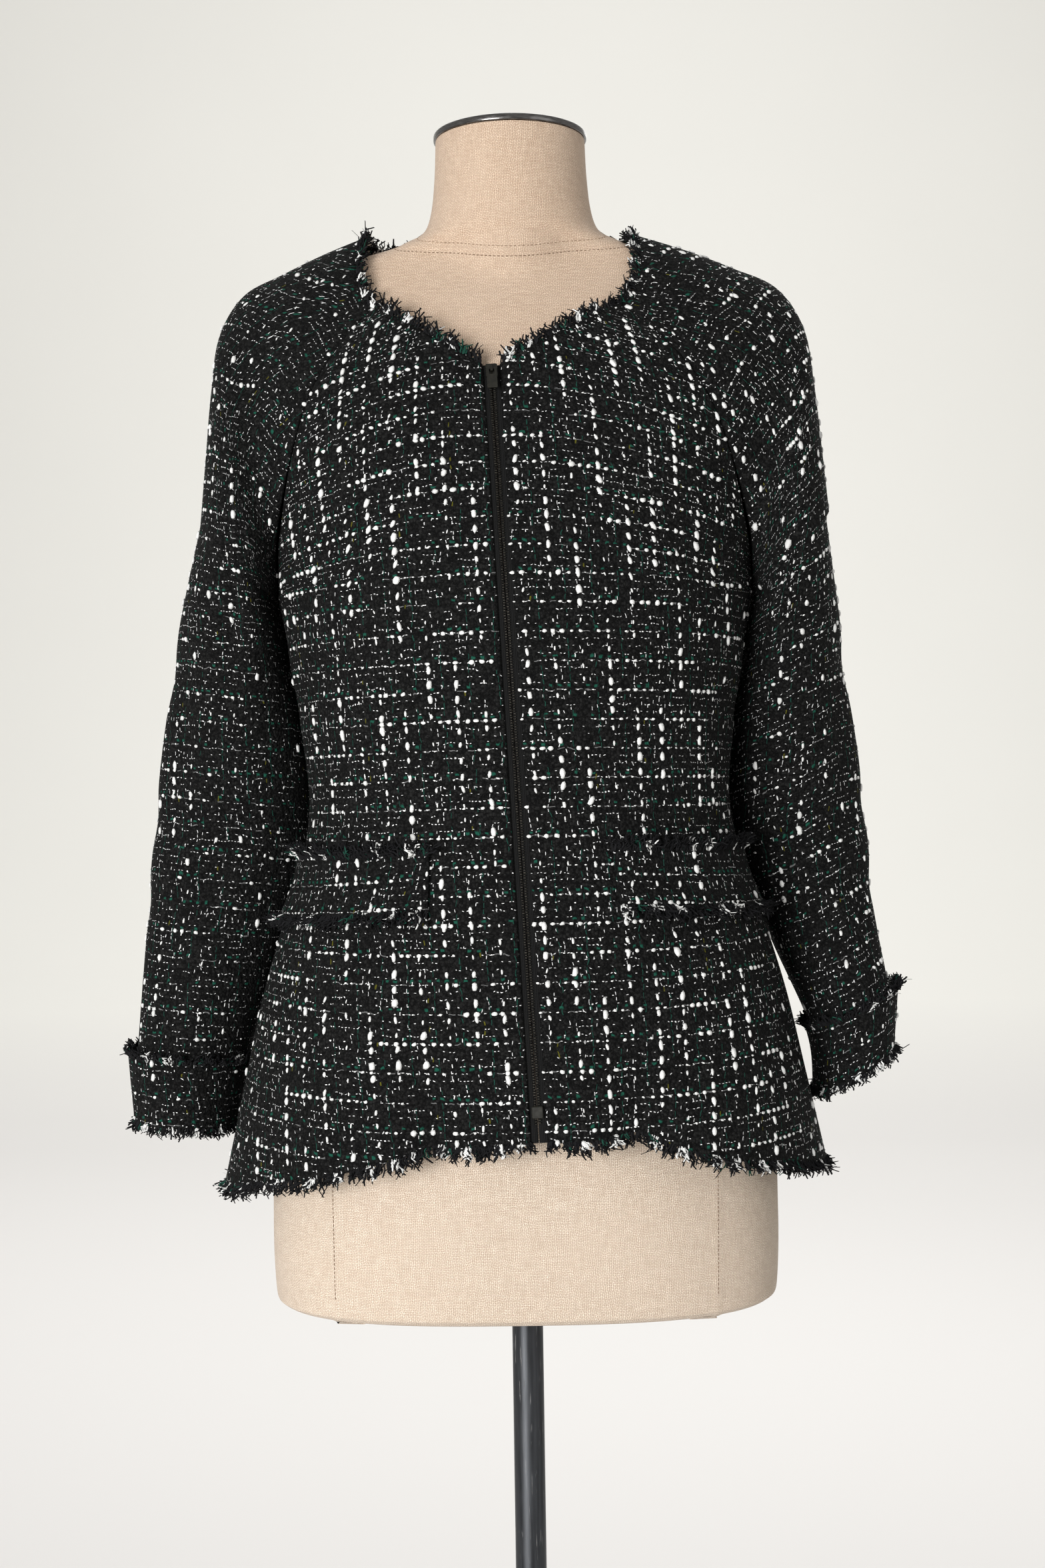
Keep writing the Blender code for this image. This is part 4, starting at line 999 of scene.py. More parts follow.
# %% Thread helpers
THREAD_RINGS = 5
THREAD_SIDES = 4
THREAD_TAPER = 0.25
CURL_TURN = 7.5  # radians that a thread curls through
CURL_OUT, CURL_SIDE = 0.16, 0.17  # width of the curl, as shares of the thread's length


def threads(name, root, way, out, length, radius, bend_out, bend_side, curl, dye):
    """Many short threads as one mesh. Each runs its own way, bends out or aside and curls at its end."""
    count = len(root)
    t = np.linspace(0, 1, THREAD_RINGS)[None, :, None]
    side = unit(np.cross(way, out))
    out = unit(np.cross(side, way))
    column = [value[:, None, None] for value in (length, radius, bend_out, bend_side, curl)]
    length, radius, bend_out, bend_side, curl = column
    wave_out = CURL_OUT * np.sin(CURL_TURN * t + 9 * bend_side) * t
    wave_side = CURL_SIDE * np.sin(CURL_TURN * t + 4 * curl) * t
    path = root[:, None] + way[:, None] * (length * (t - 0.12 * t**2 * abs(curl)))
    path = path + out[:, None] * (length * (bend_out * t**2 + wave_out))
    path = path + side[:, None] * (length * (bend_side * t**2 + wave_side))
    turn = (2 * np.pi * np.arange(THREAD_SIDES) / THREAD_SIDES)[None, None, :, None]
    ring = out[:, None, None] * np.cos(turn) + side[:, None, None] * np.sin(turn)
    taper = (1 - THREAD_TAPER * t**3)[..., None]
    points = path[:, :, None] + ring * radius[..., None] * taper
    each = THREAD_RINGS * THREAD_SIDES
    faces = [tuple(range(THREAD_SIDES))[::-1], tuple(range(each - THREAD_SIDES, each))]
    for low in range(0, each - THREAD_SIDES, THREAD_SIDES):
        high = low + THREAD_SIDES
        for k in range(THREAD_SIDES):
            m = (k + 1) % THREAD_SIDES
            faces.append((low + k, low + m, high + m, high + k))
    faces = copied_faces(np.array(faces), count, each)
    return dyed_piece(name, points.reshape(-1, 3), faces, np.repeat(dye, each, axis=0))


# %% Yarns of a frayed edge
Fray = namedtuple("Fray", "per_bunch long out")
FRAYS = {
    "hem": Fray(7, 0.0118, 0.18),
    "neck": Fray(7, 0.0115, 0.16),
    "cuff": Fray(7, 0.0092, 0.24),
    "pocket": Fray(12, 0.0122, 0.42),
}
Strand = namedtuple("Strand", "pitch phase per_bunch dye thick stray shown reach dark pale")
BUNCH_PITCH = 0.0036
LOCK_PITCH = WARP_STEP / 1000
GREEN_PHASE = 0.85
EDGE_CLEAR = 0.0005  # distance of the first and last thread from an edge's ends
ROOT_DEPTH, ROOT_SPREAD = 0.0012, 0.0007  # how deep in the edge a thread starts, and how far off its middle


def strands_of(fray):
    """The three yarns that an edge frays into."""
    return (
        Strand(BUNCH_PITCH, 0.5, fray.per_bunch, BLACK_DYE, 0.00066, 0.0011, 1.0, 1.0, 0.6, 1.35),
        Strand(LOCK_PITCH, WHITE_PHASE, 13, WHITE_DYE, 0.00074, 0.0014, 0.72, 0.82, 0.75, 1.0),
        Strand(LOCK_PITCH, GREEN_PHASE, 5, GREEN_DYE, 0.00060, 0.0008, 0.72, 0.82, 0.75, 1.0),
    )


def loose_threads(strand, fray, edge, outward, away):
    """Roots, ways, sizes, bends and colours of one yarn's threads along an edge."""
    steps = lengths_along(edge)
    middles = np.arange(strand.pitch * strand.phase, steps[-1], strand.pitch)
    middles = middles + chance.normal(0, 0.12 * strand.pitch, len(middles))
    middles = middles[chance.uniform(0, 1, len(middles)) < strand.shown]
    per = strand.per_bunch
    lean_side = chance.normal(0, 0.32, len(middles)).repeat(per)
    lean_out = chance.normal(fray.out, 0.22, len(middles)).repeat(per)
    reach = chance.uniform(0.72, 1.12, len(middles)).repeat(per)
    places = middles.repeat(per) + chance.normal(0, strand.stray, len(middles) * per)
    places = np.clip(places, EDGE_CLEAR, steps[-1] - EDGE_CLEAR)
    count = len(places)
    normal = unit(at_lengths(places, steps, outward))
    leave = unit(at_lengths(places, steps, away))
    aside = np.cross(leave, normal)
    way = leave + normal * (lean_out + chance.normal(0, 0.16, count))[:, None]
    way = unit(way + aside * (lean_side + chance.normal(0, 0.20, count))[:, None])
    off = chance.uniform(-ROOT_SPREAD, ROOT_SPREAD, count)[:, None]
    root = at_lengths(places, steps, edge) - leave * ROOT_DEPTH + normal * off
    length = fray.long * reach * chance.uniform(0.55, 1.05, count) * strand.reach
    shade = chance.uniform(strand.dark, strand.pale, count)[:, None]
    tint = np.clip(np.array(strand.dye)[None] * shade, 0, 0.95)
    radius = np.full(count, strand.thick) * chance.uniform(0.8, 1.2, count)
    bend_out = chance.normal(0.05, 0.25, count)
    bend_side = chance.normal(0, 0.25, count)
    curl = chance.normal(0, 0.9, count)
    return root, way, normal, length, radius, bend_out, bend_side, curl, tint


def fringe(name, edge, outward, away, kind):
    """The loose threads along one edge, in bunches, with the white and green locks of the weave."""
    fray = FRAYS[kind]
    sets = [loose_threads(strand, fray, edge, outward, away) for strand in strands_of(fray)]
    piece = threads(name, *(np.concatenate(parts) for parts in zip(*sets)))
    return piece


# %% Frayed edges of every piece
def edge_of(name, row, beside):
    """Middle line of a wall's edge row, its normals, and the way its threads leave the cloth."""
    grid, normals = GRIDS[name], NORMALS[name]
    return grid[row] - normals[row] * WALL / 2, normals[row], unit(grid[row] - grid[beside])


def joined_edge(names, row, beside):
    edges = [edge_of(name, row, beside) for name in names]
    return [np.concatenate([edge[k] for edge in edges]) for k in range(3)]


HEM_PANELS = ["front_right", "back", "front_left"]
NECK_PANELS = ["front_right", "sleeve_right", "back", "sleeve_left", "front_left"]
frays = {
    "hem": fringe("fringe_hem", *joined_edge(HEM_PANELS, 0, 2), "hem"),
    "neck": fringe("fringe_neck", *joined_edge(NECK_PANELS, -1, -3), "neck"),
}
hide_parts("fray_hem")
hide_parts("fray_neck")
for word in ("left", "right"):
    for kind in ("cuff", "pocket"):
        for row, beside, height in ((0, 1, "low"), (-1, -2, "high")):
            name = f"{kind}_{word}"
            key = f"{name}_{height}"
            frays[key] = fringe("fringe_" + key, *edge_of(name, row, beside), kind)
            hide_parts("fray_" + key)
print("fringe faces:", sum(len(piece.data.polygons) for piece in frays.values()))

# %% [markdown]
# ## Zip
# A closed zip runs up the front: two woven tapes and a chain of tiny moulded teeth. The tapes lie under
# the edges of the fronts. One tooth is a bevelled block; it is modelled once and copied up both sides of
# the middle line. Slider, pull tab and box keep their solids, and get a dark olive enamel.

# %% Zip line
CLEAR_COLUMN = 5  # first column of a front that is clear of the dip beside its seam


def zip_frames():
    """Middle, sideways and outward directions of the zip beside each row of the fronts."""
    left, right = PLAIN["front_left"][:, -1], PLAIN["front_right"][:, 0]
    sideways = unit(right - left)
    outward = NORMALS["front_left"][:, -1 - CLEAR_COLUMN] + NORMALS["front_right"][:, CLEAR_COLUMN]
    outward = unit(outward - sideways * (outward * sideways).sum(axis=1)[:, None])
    return (left + right) / 2, sideways, outward


ZIP_MIDDLE, ZIP_SIDEWAYS, ZIP_OUTWARD = zip_frames()
print("zip length:", round(lengths_along(ZIP_MIDDLE)[-1], 3))

# %% Tapes
TAPE_DEPTH = WALL + 0.0003
TAPE_THICKNESS = 0.0008
TAPE_UNDER = 0.010  # how far a tape reaches under its front
TAPE_SINK = 0.0007
TAPE_SPLIT = 0.0002  # from the middle line to each tape's edge
TAPE_RIB, TAPE_PICK = 0.0011, 0.0009

tape = Finish("Black zip tape", Roughness=0.85, Specular_IOR_Level=0.15)
tape_across, tape_up = tape.weave()
rib = tape.sum("SINE", tape.sum("MULTIPLY", tape_across, 2 * math.pi / TAPE_RIB))
weft = tape.sum("SINE", tape.sum("MULTIPLY", tape_up, 2 * math.pi / TAPE_PICK))
tape_weave = tape.sum("ADD", rib, tape.sum("MULTIPLY", weft, 0.5))
tape.colour(tape.mix(tape.span(tape_weave, -1.5, 1.5), grey(0.003), grey(0.010)))
tape.bump(tape_weave, 0.00012)


def zip_tape(side, word):
    """One tape: from the teeth across half of the gap, then under the edge of its front."""
    grid, normals = PLAIN["front_" + word], NORMALS["front_" + word]
    if side < 0:
        grid, normals = grid[:, ::-1], normals[:, ::-1]
    inward = unit(grid[:, CLEAR_COLUMN + 1] - grid[:, 0])
    middle = ZIP_MIDDLE + ZIP_SIDEWAYS * side * TAPE_SPLIT - ZIP_OUTWARD * TAPE_DEPTH
    edge = grid[:, 0] - ZIP_OUTWARD * TAPE_DEPTH
    hidden = grid[:, 0] + inward * TAPE_UNDER - normals[:, CLEAR_COLUMN + 1] * (TAPE_DEPTH + TAPE_SINK)
    columns = [middle, (middle + edge) / 2, edge, (edge + hidden) / 2, hidden]
    points = np.stack(columns if side > 0 else columns[::-1], axis=1)
    weave = weave_of(points, 0, 0)
    piece = sheet_from("zip_tape_" + word + "_woven", points, weave, tape.material, TAPE_THICKNESS)
    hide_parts("zip_tape_" + word)
    return piece


tapes = {word: zip_tape(side, word) for side, word in ((-1, "left"), (1, "right"))}
print("tapes:", len(tapes))

# %% Teeth
TOOTH = (0.0017, 0.0010, 0.0011)  # across, up the zip, out of the cloth
TOOTH_EDGE = 0.00028
TOOTH_PITCH = 0.00162
TOOTH_OUT = 0.00065
TOOTH_ASIDE = 0.00115
TOOTH_DARK, TOOTH_PALE = (0.012, 0.011, 0.010, 1), (0.062, 0.057, 0.047, 1)
CHAIN_FOOT, CHAIN_HEAD = 0.012, 0.006  # lengths left bare at the ends of the tapes

dark_metal = Finish("Dark zip teeth", Roughness=0.34, Metallic=0.85)
wear = dark_metal.noise(900, 2)
dark_metal.colour(dark_metal.mix(dark_metal.span(wear, 0.35, 0.75), TOOTH_DARK, TOOTH_PALE))
dark_metal.rough(dark_metal.span(wear, 0.3, 0.7, 0.30, 0.50))

deselect()
bpy.ops.mesh.primitive_cube_add(size=1)
tooth = bpy.context.object
bpy.ops.object.mode_set(mode="EDIT")
bpy.ops.mesh.select_all(action="SELECT")
bpy.ops.transform.resize(value=TOOTH)
bpy.ops.mesh.bevel(offset=TOOTH_EDGE, segments=1, affect="EDGES")
bpy.ops.object.mode_set(mode="OBJECT")
tooth_points = np.array([vert.co for vert in tooth.data.vertices])
tooth_faces = [tuple(face.vertices) for face in tooth.data.polygons]
bpy.data.objects.remove(tooth)


def chain():
    """Both rows of teeth from the zip's foot to its head, as one mesh."""
    along = lengths_along(ZIP_MIDDLE)
    points, faces = [], []
    for side in (-1, 1):
        first = CHAIN_FOOT + side * TOOTH_PITCH / 4
        for place in np.arange(first, along[-1] - CHAIN_HEAD, TOOTH_PITCH):
            row = np.interp(place, along, np.arange(len(along)))
            i = min(int(row), len(along) - 2)
            up = unit(ZIP_MIDDLE[i + 1] - ZIP_MIDDLE[i])
            middle = ZIP_MIDDLE[i] + (ZIP_MIDDLE[i + 1] - ZIP_MIDDLE[i]) * (row - i)
            out, across = ZIP_OUTWARD[i], ZIP_SIDEWAYS[i]
            middle = middle + across * side * TOOTH_ASIDE - out * (TAPE_DEPTH - TOOTH_OUT)
            start = len(points) * len(tooth_points)
            points.append(middle + tooth_points @ np.array([across, up, out]))
            faces += [tuple(k + start for k in face) for face in tooth_faces]
    piece = new_piece("zip_teeth", np.concatenate(points), faces, dark_metal.material)
    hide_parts("zip_chain")
    return piece


teeth = chain()
print("teeth:", len(teeth.data.polygons) // len(tooth_faces))

# %% Slider, pull and box
ENAMEL_DARK, ENAMEL_PALE = (0.006, 0.0057, 0.0040, 1), (0.012, 0.0114, 0.0075, 1)
METAL_NODES = ("zip_slider", "zip_pull", "zip_box")

enamel = Finish("Dark olive enamel", Roughness=0.30, Specular_IOR_Level=0.4)
enamel_wear = enamel.noise(260, 3)
enamel.colour(enamel.mix(enamel.span(enamel_wear, 0.35, 0.7), ENAMEL_DARK, ENAMEL_PALE))
enamel.rough(enamel.span(enamel_wear, 0.3, 0.7, 0.22, 0.40))
for node in METAL_NODES:
    part = bpy.data.objects[node]
    part.data.materials.clear()
    part.data.materials.append(enamel.material)
print("metal nodes kept:", len(METAL_NODES))

# %% [markdown]
# ## Dress form
# The form is a padded torso in unbleached linen, with a turned metal cap on the neck, on a steel pole.
# The torso is a grid wrapped round and closed, whose seams stand up as thin welts. Its linen is a plain
# weave with about one thread to a millimetre: two waves on the weave map are the threads, and the sign of
# their product says which one lies on top.

# %% Linen finish
LINEN_THREADS = (860.0, 1000.0)  # for each metre across and up
LINEN_DIM, LINEN_PALE = (0.60, 0.490, 0.385, 1), (0.90, 0.800, 0.670, 1)
LINEN_LEVEL = (0.50, 0.375, 0.270, 1)
LINEN_GAP = (0.22, 0.135, 0.085, 1)
# Upper torso tone: partly the linen's own discolouring, partly painted shade.
LINEN_WEAR_AND_SHADE = (0.94, 0.85, 0.78, 1)
LINEN_CLOUD = (0.60, 0.475, 0.375, 1)


def linen_finish():
    """Plain weave: at each crossing one of two threads lies on top, with a dark gap at the corners."""
    linen = Finish("Unbleached linen", Roughness=0.88, Sheen_Weight=0.10, Sheen_Roughness=0.6)
    waves = []
    for k, (measure, per_metre) in enumerate(zip(linen.weave(), LINEN_THREADS)):
        stray = linen.noise(95, 2, linen.stretch(1.0 + k, 1.0, 2.0 - k))
        stray = linen.span(stray, 0.25, 0.75, -0.7, 0.7)
        count = linen.sum("ADD", linen.sum("MULTIPLY", measure, per_metre), stray)
        waves.append(linen.sum("SINE", linen.sum("MULTIPLY", count, math.pi)))
    over = linen.span(linen.sum("MULTIPLY", *waves), -0.7, 0.7)
    thread = linen.sum("MAXIMUM", *(linen.sum("ABSOLUTE", wave) for wave in waves))
    gap = linen.span(thread, 0.30, 0.95, 1.0, 0.0)
    level = linen.noise(1.0, 3, linen.stretch(130, 130, 1300))
    upright = linen.noise(1.0, 3, linen.stretch(1250, 1250, 110))
    slub = linen.sum("ADD", linen.span(level, 0.35, 0.75), linen.span(upright, 0.35, 0.75))
    tone = linen.mix(linen.span(slub, 0.2, 1.7), LINEN_DIM, LINEN_PALE)
    tone = linen.mix(linen.sum("MULTIPLY", over, 0.55), tone, LINEN_LEVEL)
    tone = linen.mix(linen.sum("MULTIPLY", gap, 0.95), tone, LINEN_GAP)
    # Darker and warmer from the waist up: partly the linen's own discolouring, partly painted shade.
    wear_and_shade = linen.mix(linen.span(linen.height(), 0.85, 1.28), (1, 1, 1, 1), LINEN_WEAR_AND_SHADE)
    tone = linen.mix(1.0, tone, wear_and_shade, "MULTIPLY")
    cloud = linen.span(linen.noise(14, 2), 0.3, 0.7, 0.0, 0.22)
    linen.colour(linen.mix(cloud, tone, LINEN_CLOUD))
    relief = linen.sum("ADD", linen.sum("MULTIPLY", gap, -0.8), linen.sum("MULTIPLY", slub, 0.4))
    linen.bump(relief, 0.00035)
    return linen.material


LINEN = linen_finish()
print("linen nodes:", len(LINEN.node_tree.nodes))

# %% Torso
FORM_ROUND = 2.25
FORM_FOOT_ROUND = 0.6
NECK_ROUND_Z, FOOT_ROUND_Z, ROUND_REACH = 1.36, 0.78, 0.1  # where the form turns rounder and squarer
NECK_TOP = 1.4253
NECK_RADIUS = 0.0508
THROAT_DEPTH = 0.0515
THROAT_HALF = 0.050
THROAT_FOOT, THROAT_TOP = 1.25, 1.371
THROAT_SOFT = 0.004
THROAT_FADE = 0.015
FormRing = namedtuple("FormRing", "z half_width front back")
FORM_RINGS = {
    "underside": FormRing(0.645, 0.159, 0.107, 0.112),
    "lower edge": FormRing(0.648, 0.1655, 0.1135, 0.1185),
    "corner": FormRing(0.656, 0.1685, 0.1165, 0.1220),
    "low hip": FormRing(0.702, 0.170, 0.118, 0.124),
    "hip": FormRing(0.760, 0.168, 0.118, 0.125),
    "high hip": FormRing(0.850, 0.152, 0.108, 0.110),
    "waist": FormRing(0.960, 0.122, 0.094, 0.084),
    "ribs": FormRing(1.040, 0.132, 0.112, 0.088),
    "bust": FormRing(1.110, 0.145, 0.130, 0.100),
    "chest": FormRing(1.180, 0.148, 0.119, 0.104),
    "armhole": FormRing(1.240, 0.158, 0.098, 0.098),
    "shoulder tip": FormRing(1.300, 0.168, 0.064, 0.078),
    "shoulder": FormRing(1.3258, 0.1585, 0.046, 0.064),
    "collarbone": FormRing(1.3393, 0.135, 0.039, 0.056),
    "shoulder slope": FormRing(1.3480, 0.094, 0.0405, 0.055),
    "neck base": FormRing(1.358, 0.0645, 0.051, 0.056),
    "neck foot": FormRing(1.372, 0.0555, 0.0525, 0.0555),
    "neck": FormRing(1.398, 0.0520, 0.0520, 0.0525),
    "neck top": FormRing(NECK_TOP, NECK_RADIUS, NECK_RADIUS, NECK_RADIUS),
}
FORM_COLUMNS = 240
WELT = 0.0007
WELT_HALF = 0.0016
WELT_X = 0.1238  # where the two long front seams cross the hip
WELT_HEIGHTS, WELT_SHARES = (0.62, 0.78, 0.96, 1.2), (0.98, 1.0, 0.78, 0.85)
NECK_SEAM_Z, NECK_SEAM_DIP = 1.362, 0.45  # the neck's seam dips towards the front
EASE_LOW, EASE_HIGH = 1.300, 1.388
EASE_ROUNDS = 24


# %% Neck and throat
def share_of(value):
    """A number held between 0 and 1."""
    return min(1, max(0, value))


def with_throat(x, depth, z):
    """Depths of the form's front where the round of the neck runs down into it."""
    throat = THROAT_DEPTH * np.sqrt(np.maximum(1 - (x / THROAT_HALF) ** 2, 0))
    near = np.maximum(THROAT_SOFT - abs(depth - throat), 0) / THROAT_SOFT
    fade = share_of((THROAT_TOP - z) / THROAT_FADE)
    joined = np.maximum(depth, throat) + near * near * fade * THROAT_SOFT / 4
    inside = (abs(x) < THROAT_HALF) & (THROAT_FOOT < z) & (z < THROAT_TOP)
    return np.where(inside, joined, depth)


def eased(grid):
    """The grid with the hollow between neck and shoulders padded out softly."""
    z = grid[..., 2]
    share = np.clip((z - EASE_LOW) / 0.02, 0, 1) * np.clip((EASE_HIGH - z) / 0.012, 0, 1)
    for _ in range(EASE_ROUNDS):
        loop = grid[:, :-1]
        beside = (np.roll(loop, 1, axis=1) + np.roll(loop, -1, axis=1)) / 2
        beside = np.concatenate([beside, beside[:, :1]], axis=1)
        above = (np.roll(grid, 1, axis=0) + np.roll(grid, -1, axis=0)) / 2
        grid = grid + share[..., None] * ((beside + above) / 2 - grid) * 0.5
    return grid


def torso_grid():
    """Rings of the torso from its underside to the neck's top."""
    places = np.concatenate([np.linspace(0, 3, 25)[:-1], np.linspace(3, len(FORM_RINGS) - 1, 128)])
    angle = np.pi + 2 * np.pi * np.arange(FORM_COLUMNS + 1) / FORM_COLUMNS
    c, s = np.cos(angle), np.sin(angle)
    rows = []
    for ring in read_rows(FORM_RINGS, places):
        roundness = 2 + (FORM_ROUND - 2) * share_of((NECK_ROUND_Z - ring.z) / ROUND_REACH)
        power = 2 / (roundness + FORM_FOOT_ROUND * share_of((FOOT_ROUND_Z - ring.z) / ROUND_REACH))
        x = np.sign(s) * abs(s) ** power * ring.half_width
        y = -np.sign(c) * abs(c) ** power * np.where(c > 0, ring.front, ring.back)
        y = np.where(c > 0, -with_throat(x, -y, ring.z), y)
        rows.append(np.stack([x, y, np.full_like(x, ring.z)], axis=1))
    return eased(np.array(rows))


# %% Seams of the torso
torso_points = torso_grid()
torso_weave = weave_of(torso_points, FORM_COLUMNS // 2, 0)
torso_weave[..., 1] = torso_points[..., 2]
torso_normals = normals_of(torso_points)
welt_width = WELT_X * np.interp(torso_points[..., 2], WELT_HEIGHTS, WELT_SHARES)
near_welt = np.exp(-(((abs(torso_points[..., 0]) - welt_width) / WELT_HALF) ** 2))
neck_seam = NECK_SEAM_Z + NECK_SEAM_DIP * torso_points[..., 1]
near_neck = np.exp(-(((torso_points[..., 2] - neck_seam) / WELT_HALF) ** 2))
torso_points = torso_points + torso_normals * (WELT * np.maximum(near_welt, near_neck))[..., None]
torso_points[:, -1] = torso_points[:, 0]


# %% Torso mesh
def torso():
    """The wrapped grid, closed below and at the neck's top."""
    piece = mesh_from("linen_torso", torso_points, torso_weave, merge=True)
    for low, high in ((0.6, 0.6451), (NECK_TOP - 0.0001, 1.5)):
        pick(piece, "EDGE", lambda co: low < co.z < high)
        bpy.ops.mesh.edge_face_add()
        bpy.ops.mesh.inset(thickness=0.012)
    bpy.ops.object.mode_set(mode="OBJECT")
    bpy.ops.object.shade_smooth_by_angle(angle=math.radians(50))
    piece.data.materials.append(LINEN)
    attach(piece, BODY)
    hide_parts("form_torso")
    return piece


linen_torso = torso()
print("torso faces:", len(linen_torso.data.polygons))

# %% [markdown]
# Two lines of stitches follow the seam of the neck and one follows each long front seam of the hip. A
# stitch is the pebble of the slubs again, thinner and laid end to end on the torso's own surface, so it
# can't float off it.

# %% Stitches of the form
STITCH_DARK = (0.20, 0.130, 0.085, 1)
# The upper neck line is paler than the lower: a painted highlight along the seam's fold.
STITCH_PAINTED_HIGHLIGHT = (0.33, 0.235, 0.160, 1)
STITCH_WIDTH = 0.0007
STITCH_OFF = 0.0034  # height of a line of stitches from the neck's seam
NECK_PITCH, NECK_STITCH = 0.0029, 0.0021
HIP_PITCH, HIP_STITCH = 0.0027, 0.0022
HIP_LOW, HIP_HIGH = 0.657, 0.80  # the hip's stitches show between these heights
NECK_LOW = 1.30


def crossing(level, column):
    """The row, as a fraction, where a growing measure of the torso's rows passes zero in one column."""
    return np.interp(0, level[:, column], np.arange(len(level)))


def seam_stitches(name, rows, columns, pitch, length, colour):
    """A line of stitches along a seam of the form: small flat pebbles end to end."""
    line = sample(torso_points, rows, columns)
    normals = unit(sample(torso_normals, rows, columns))
    along = lengths_along(line)
    places = np.arange(pitch, along[-1], pitch)
    middle = at_lengths(places, along, line)
    out = unit(at_lengths(places, along, normals))
    way = unit(at_lengths(places + length / 4, along, line) - middle + 1e-9)
    side = np.cross(out, way)
    shape, faces = pebble()
    placed = middle[:, None] + way[:, None] * shape[None, :, :1] * length / 2
    placed = placed + side[:, None] * shape[None, :, 1:2] * STITCH_WIDTH / 2
    placed = placed + out[:, None] * shape[None, :, 2:] * STITCH_WIDTH / 2
    dye = np.tile(colour, (len(middle) * len(shape), 1))
    all_faces = copied_faces(faces, len(middle), len(shape))
    piece = dyed_piece(name, placed.reshape(-1, 3), all_faces, dye)
    return piece


row_heights = torso_points[:, 0, 2]
neck_columns = np.arange(FORM_COLUMNS + 1)
neck_level = torso_points[..., 2] - neck_seam
high_rows = np.nonzero(row_heights > NECK_LOW)[0]
stitches = []
# The high line of the neck takes the painted highlight colour.
for word, drop, colour in (("low", STITCH_OFF, STITCH_DARK), ("high", -STITCH_OFF, STITCH_PAINTED_HIGHLIGHT)):
    rows = np.array([high_rows[0] + crossing(neck_level[high_rows] + drop, k) for k in neck_columns])
    line = (rows, neck_columns.astype(float), NECK_PITCH, NECK_STITCH)
    stitches.append(seam_stitches("neck_stitches_" + word, *line, colour))
hip_rows = np.nonzero((row_heights > HIP_LOW) & (row_heights < HIP_HIGH))[0]
for side, word in ((-1, "left"), (1, "right")):
    front = np.nonzero((torso_points[0, :, 1] < 0) & (torso_points[0, :, 0] * side > 0))[0]
    order = front[np.argsort(torso_points[0, front, 0] * side)]
    columns = []
    for i in hip_rows:
        columns.append(np.interp(welt_width[i, order[0]], torso_points[i, order, 0] * side, order))
    line = (hip_rows.astype(float), np.array(columns), HIP_PITCH, HIP_STITCH)
    stitches.append(seam_stitches("hip_stitches_" + word, *line, STITCH_DARK))
print("stitches:", [len(piece.data.polygons) // len(pebble()[1]) for piece in stitches])

# %% [markdown]
# The neck cap is a flat disc with a rolled bright rim, the pole is a blued steel tube scratched along its
# length, and the base is a heavy plate. Each starts as a cylinder, and bevels and insets give it its edges.

# %% Metal finishes
NICKEL_DARK, NICKEL_PALE = (0.085, 0.080, 0.078, 1), (0.19, 0.185, 0.18, 1)
STEEL_DARK, STEEL_PALE = (0.020, 0.0215, 0.0245, 1), (0.041, 0.044, 0.049, 1)
STEEL_BARE = (0.23, 0.225, 0.22, 1)

nickel = Finish("Dark bright nickel", Roughness=0.16, Metallic=1.0)
brush = nickel.noise(1.0, 3, nickel.stretch(260, 260, 2600))
nickel.colour(nickel.mix(nickel.span(brush, 0.3, 0.7), NICKEL_DARK, NICKEL_PALE))
nickel.rough(nickel.span(brush, 0.3, 0.7, 0.12, 0.26))

steel = Finish("Worn blued steel", Roughness=0.4, Metallic=0.55)
streak = steel.noise(1.0, 4, steel.stretch(420, 420, 26))
patch = steel.noise(38, 4)
scratch = steel.span(steel.noise(1.0, 2, steel.stretch(900, 900, 45)), 0.66, 0.72)
scratch = steel.sum("MULTIPLY", scratch, steel.span(patch, 0.42, 0.62))
steel_tone = steel.mix(steel.span(streak, 0.3, 0.7), STEEL_DARK, STEEL_PALE)
steel.colour(steel.mix(scratch, steel_tone, STEEL_BARE))
steel.rough(steel.span(streak, 0.3, 0.7, 0.34, 0.52))
steel.bump(steel.sum("SUBTRACT", streak, scratch), 0.00012)
print("metals:", nickel.material.name, "and", steel.material.name)


# %% Cap, pole and base
NEAR = 0.0001  # how close to a height a corner has to be
CAP_LOW, CAP_HIGH = NECK_TOP + 0.0003, NECK_TOP + 0.0048
CAP_RADIUS = NECK_RADIUS + 0.0014
BASE_RADIUS = 0.165
BASE_HEIGHT = 0.012
BOSS_TOP = BASE_HEIGHT + 0.045
BOSS_WALL = 0.007
POLE_RADIUS = 0.0105
POLE_LOW, POLE_HIGH = BOSS_TOP + 0.0003, 0.6447


def turned(name, node, finish, radius, low, high, sides, shape):
    """A round piece: a cylinder at its size and place, shaped in edit mode."""
    deselect()
    middle = (0, 0, (low + high) / 2)
    bpy.ops.mesh.primitive_cylinder_add(vertices=sides, radius=radius, depth=high - low, location=middle)
    piece = bpy.context.object
    piece.name = piece.data.name = name
    bpy.ops.object.transform_apply(location=True, rotation=True, scale=True)
    bpy.ops.object.mode_set(mode="EDIT")
    shape(piece)
    bpy.ops.object.mode_set(mode="OBJECT")
    bpy.ops.object.shade_smooth_by_angle(angle=math.radians(35))
    piece.data.materials.append(finish.material)
    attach(piece, BODY)
    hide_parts(node)
    return piece


def soften(piece, offset, segments, test):
    """Bevels the edges whose two ends pass a test of their place."""
    pick(piece, "EDGE", test)
    bpy.ops.mesh.bevel(offset=offset, segments=segments)


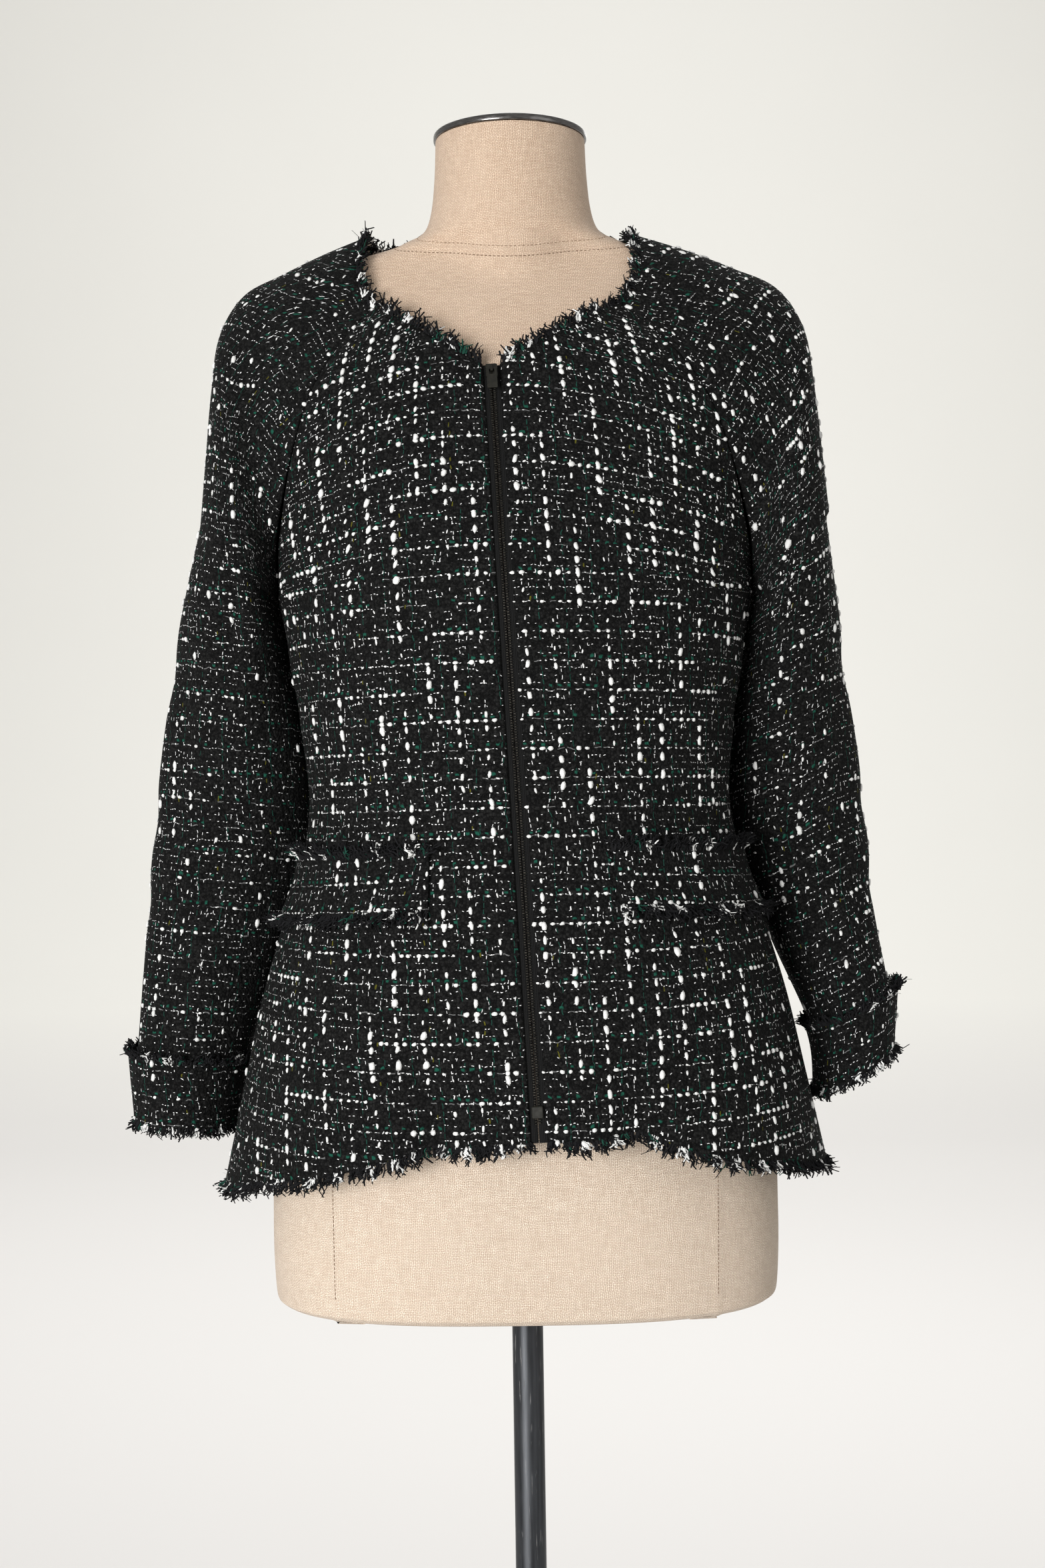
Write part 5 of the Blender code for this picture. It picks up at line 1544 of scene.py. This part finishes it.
def shape_cap(piece):
    soften(piece, 0.0016, 5, lambda co: co.z > CAP_HIGH - NEAR)
    soften(piece, 0.0008, 3, lambda co: co.z < CAP_LOW + NEAR)
    pick(piece, "FACE", lambda co: co.z > CAP_HIGH - 0.000002)
    bpy.ops.mesh.inset(thickness=0.004)
    bpy.ops.mesh.inset(thickness=0.0008, depth=-0.0007)


def shape_pole(piece):
    soften(piece, 0.0008, 2, lambda co: co.z > POLE_HIGH - 0.04)


def shape_base(piece):
    pick(piece, "FACE", lambda co: co.z > BASE_HEIGHT - NEAR)
    bpy.ops.mesh.inset(thickness=BASE_RADIUS - POLE_RADIUS - BOSS_WALL)
    bpy.ops.mesh.extrude_region_move(TRANSFORM_OT_translate={"value": (0, 0, BOSS_TOP - BASE_HEIGHT)})
    soften(piece, 0.002, 4, lambda co: co.z > BOSS_TOP - NEAR)
    soften(piece, 0.004, 5, lambda co: abs(co.z - BASE_HEIGHT) < NEAR and math.hypot(co.x, co.y) > 0.16)
    soften(piece, 0.004, 4, lambda co: abs(co.z - BASE_HEIGHT) < NEAR and math.hypot(co.x, co.y) < 0.019)


rounds = [
    turned("neck_cap", "form_cap", nickel, CAP_RADIUS, CAP_LOW, CAP_HIGH, 96, shape_cap),
    turned("pole", "stand_pole", steel, POLE_RADIUS, POLE_LOW, POLE_HIGH, 48, shape_pole),
    turned("base_plate", "stand_base", steel, BASE_RADIUS, 0, BASE_HEIGHT, 128, shape_base),
]
print("turned pieces:", [piece.name for piece in rounds])

# %% [markdown]
# ## The cut of each sheet
# The size that each cloth piece was cut to is printed. The flat size is the smallest rectangle round the
# piece on its own weave map; the area is what the cut takes of it.


def face_area(grid):
    """Area of the cloth on one face, in square metres."""
    rising, falling = grid[1:, 1:] - grid[:-1, :-1], grid[1:, :-1] - grid[:-1, 1:]
    return np.linalg.norm(np.cross(rising, falling), axis=2).sum() / 2


def declare(name):
    """Prints a sheet's flat size, with a millimetre to spare, and its area."""
    grid, weave = GRIDS[name], WEAVES[name].reshape(-1, 2)
    flat = tuple(round(float(x) + 0.001, 3) for x in weave.max(axis=0) - weave.min(axis=0))
    area = round(min(float(face_area(grid)), flat[0] * flat[1]), 4)
    print(name, "flat", flat, "area", area)


for name in PLAIN:
    declare(name)
for word in ("left", "right"):
    for kind, under in (("cuff", "sleeve_"), ("pocket", "front_")):
        name = f"{kind}_{word}"
        declare(name)

# %% Sizes and the end
deselect()
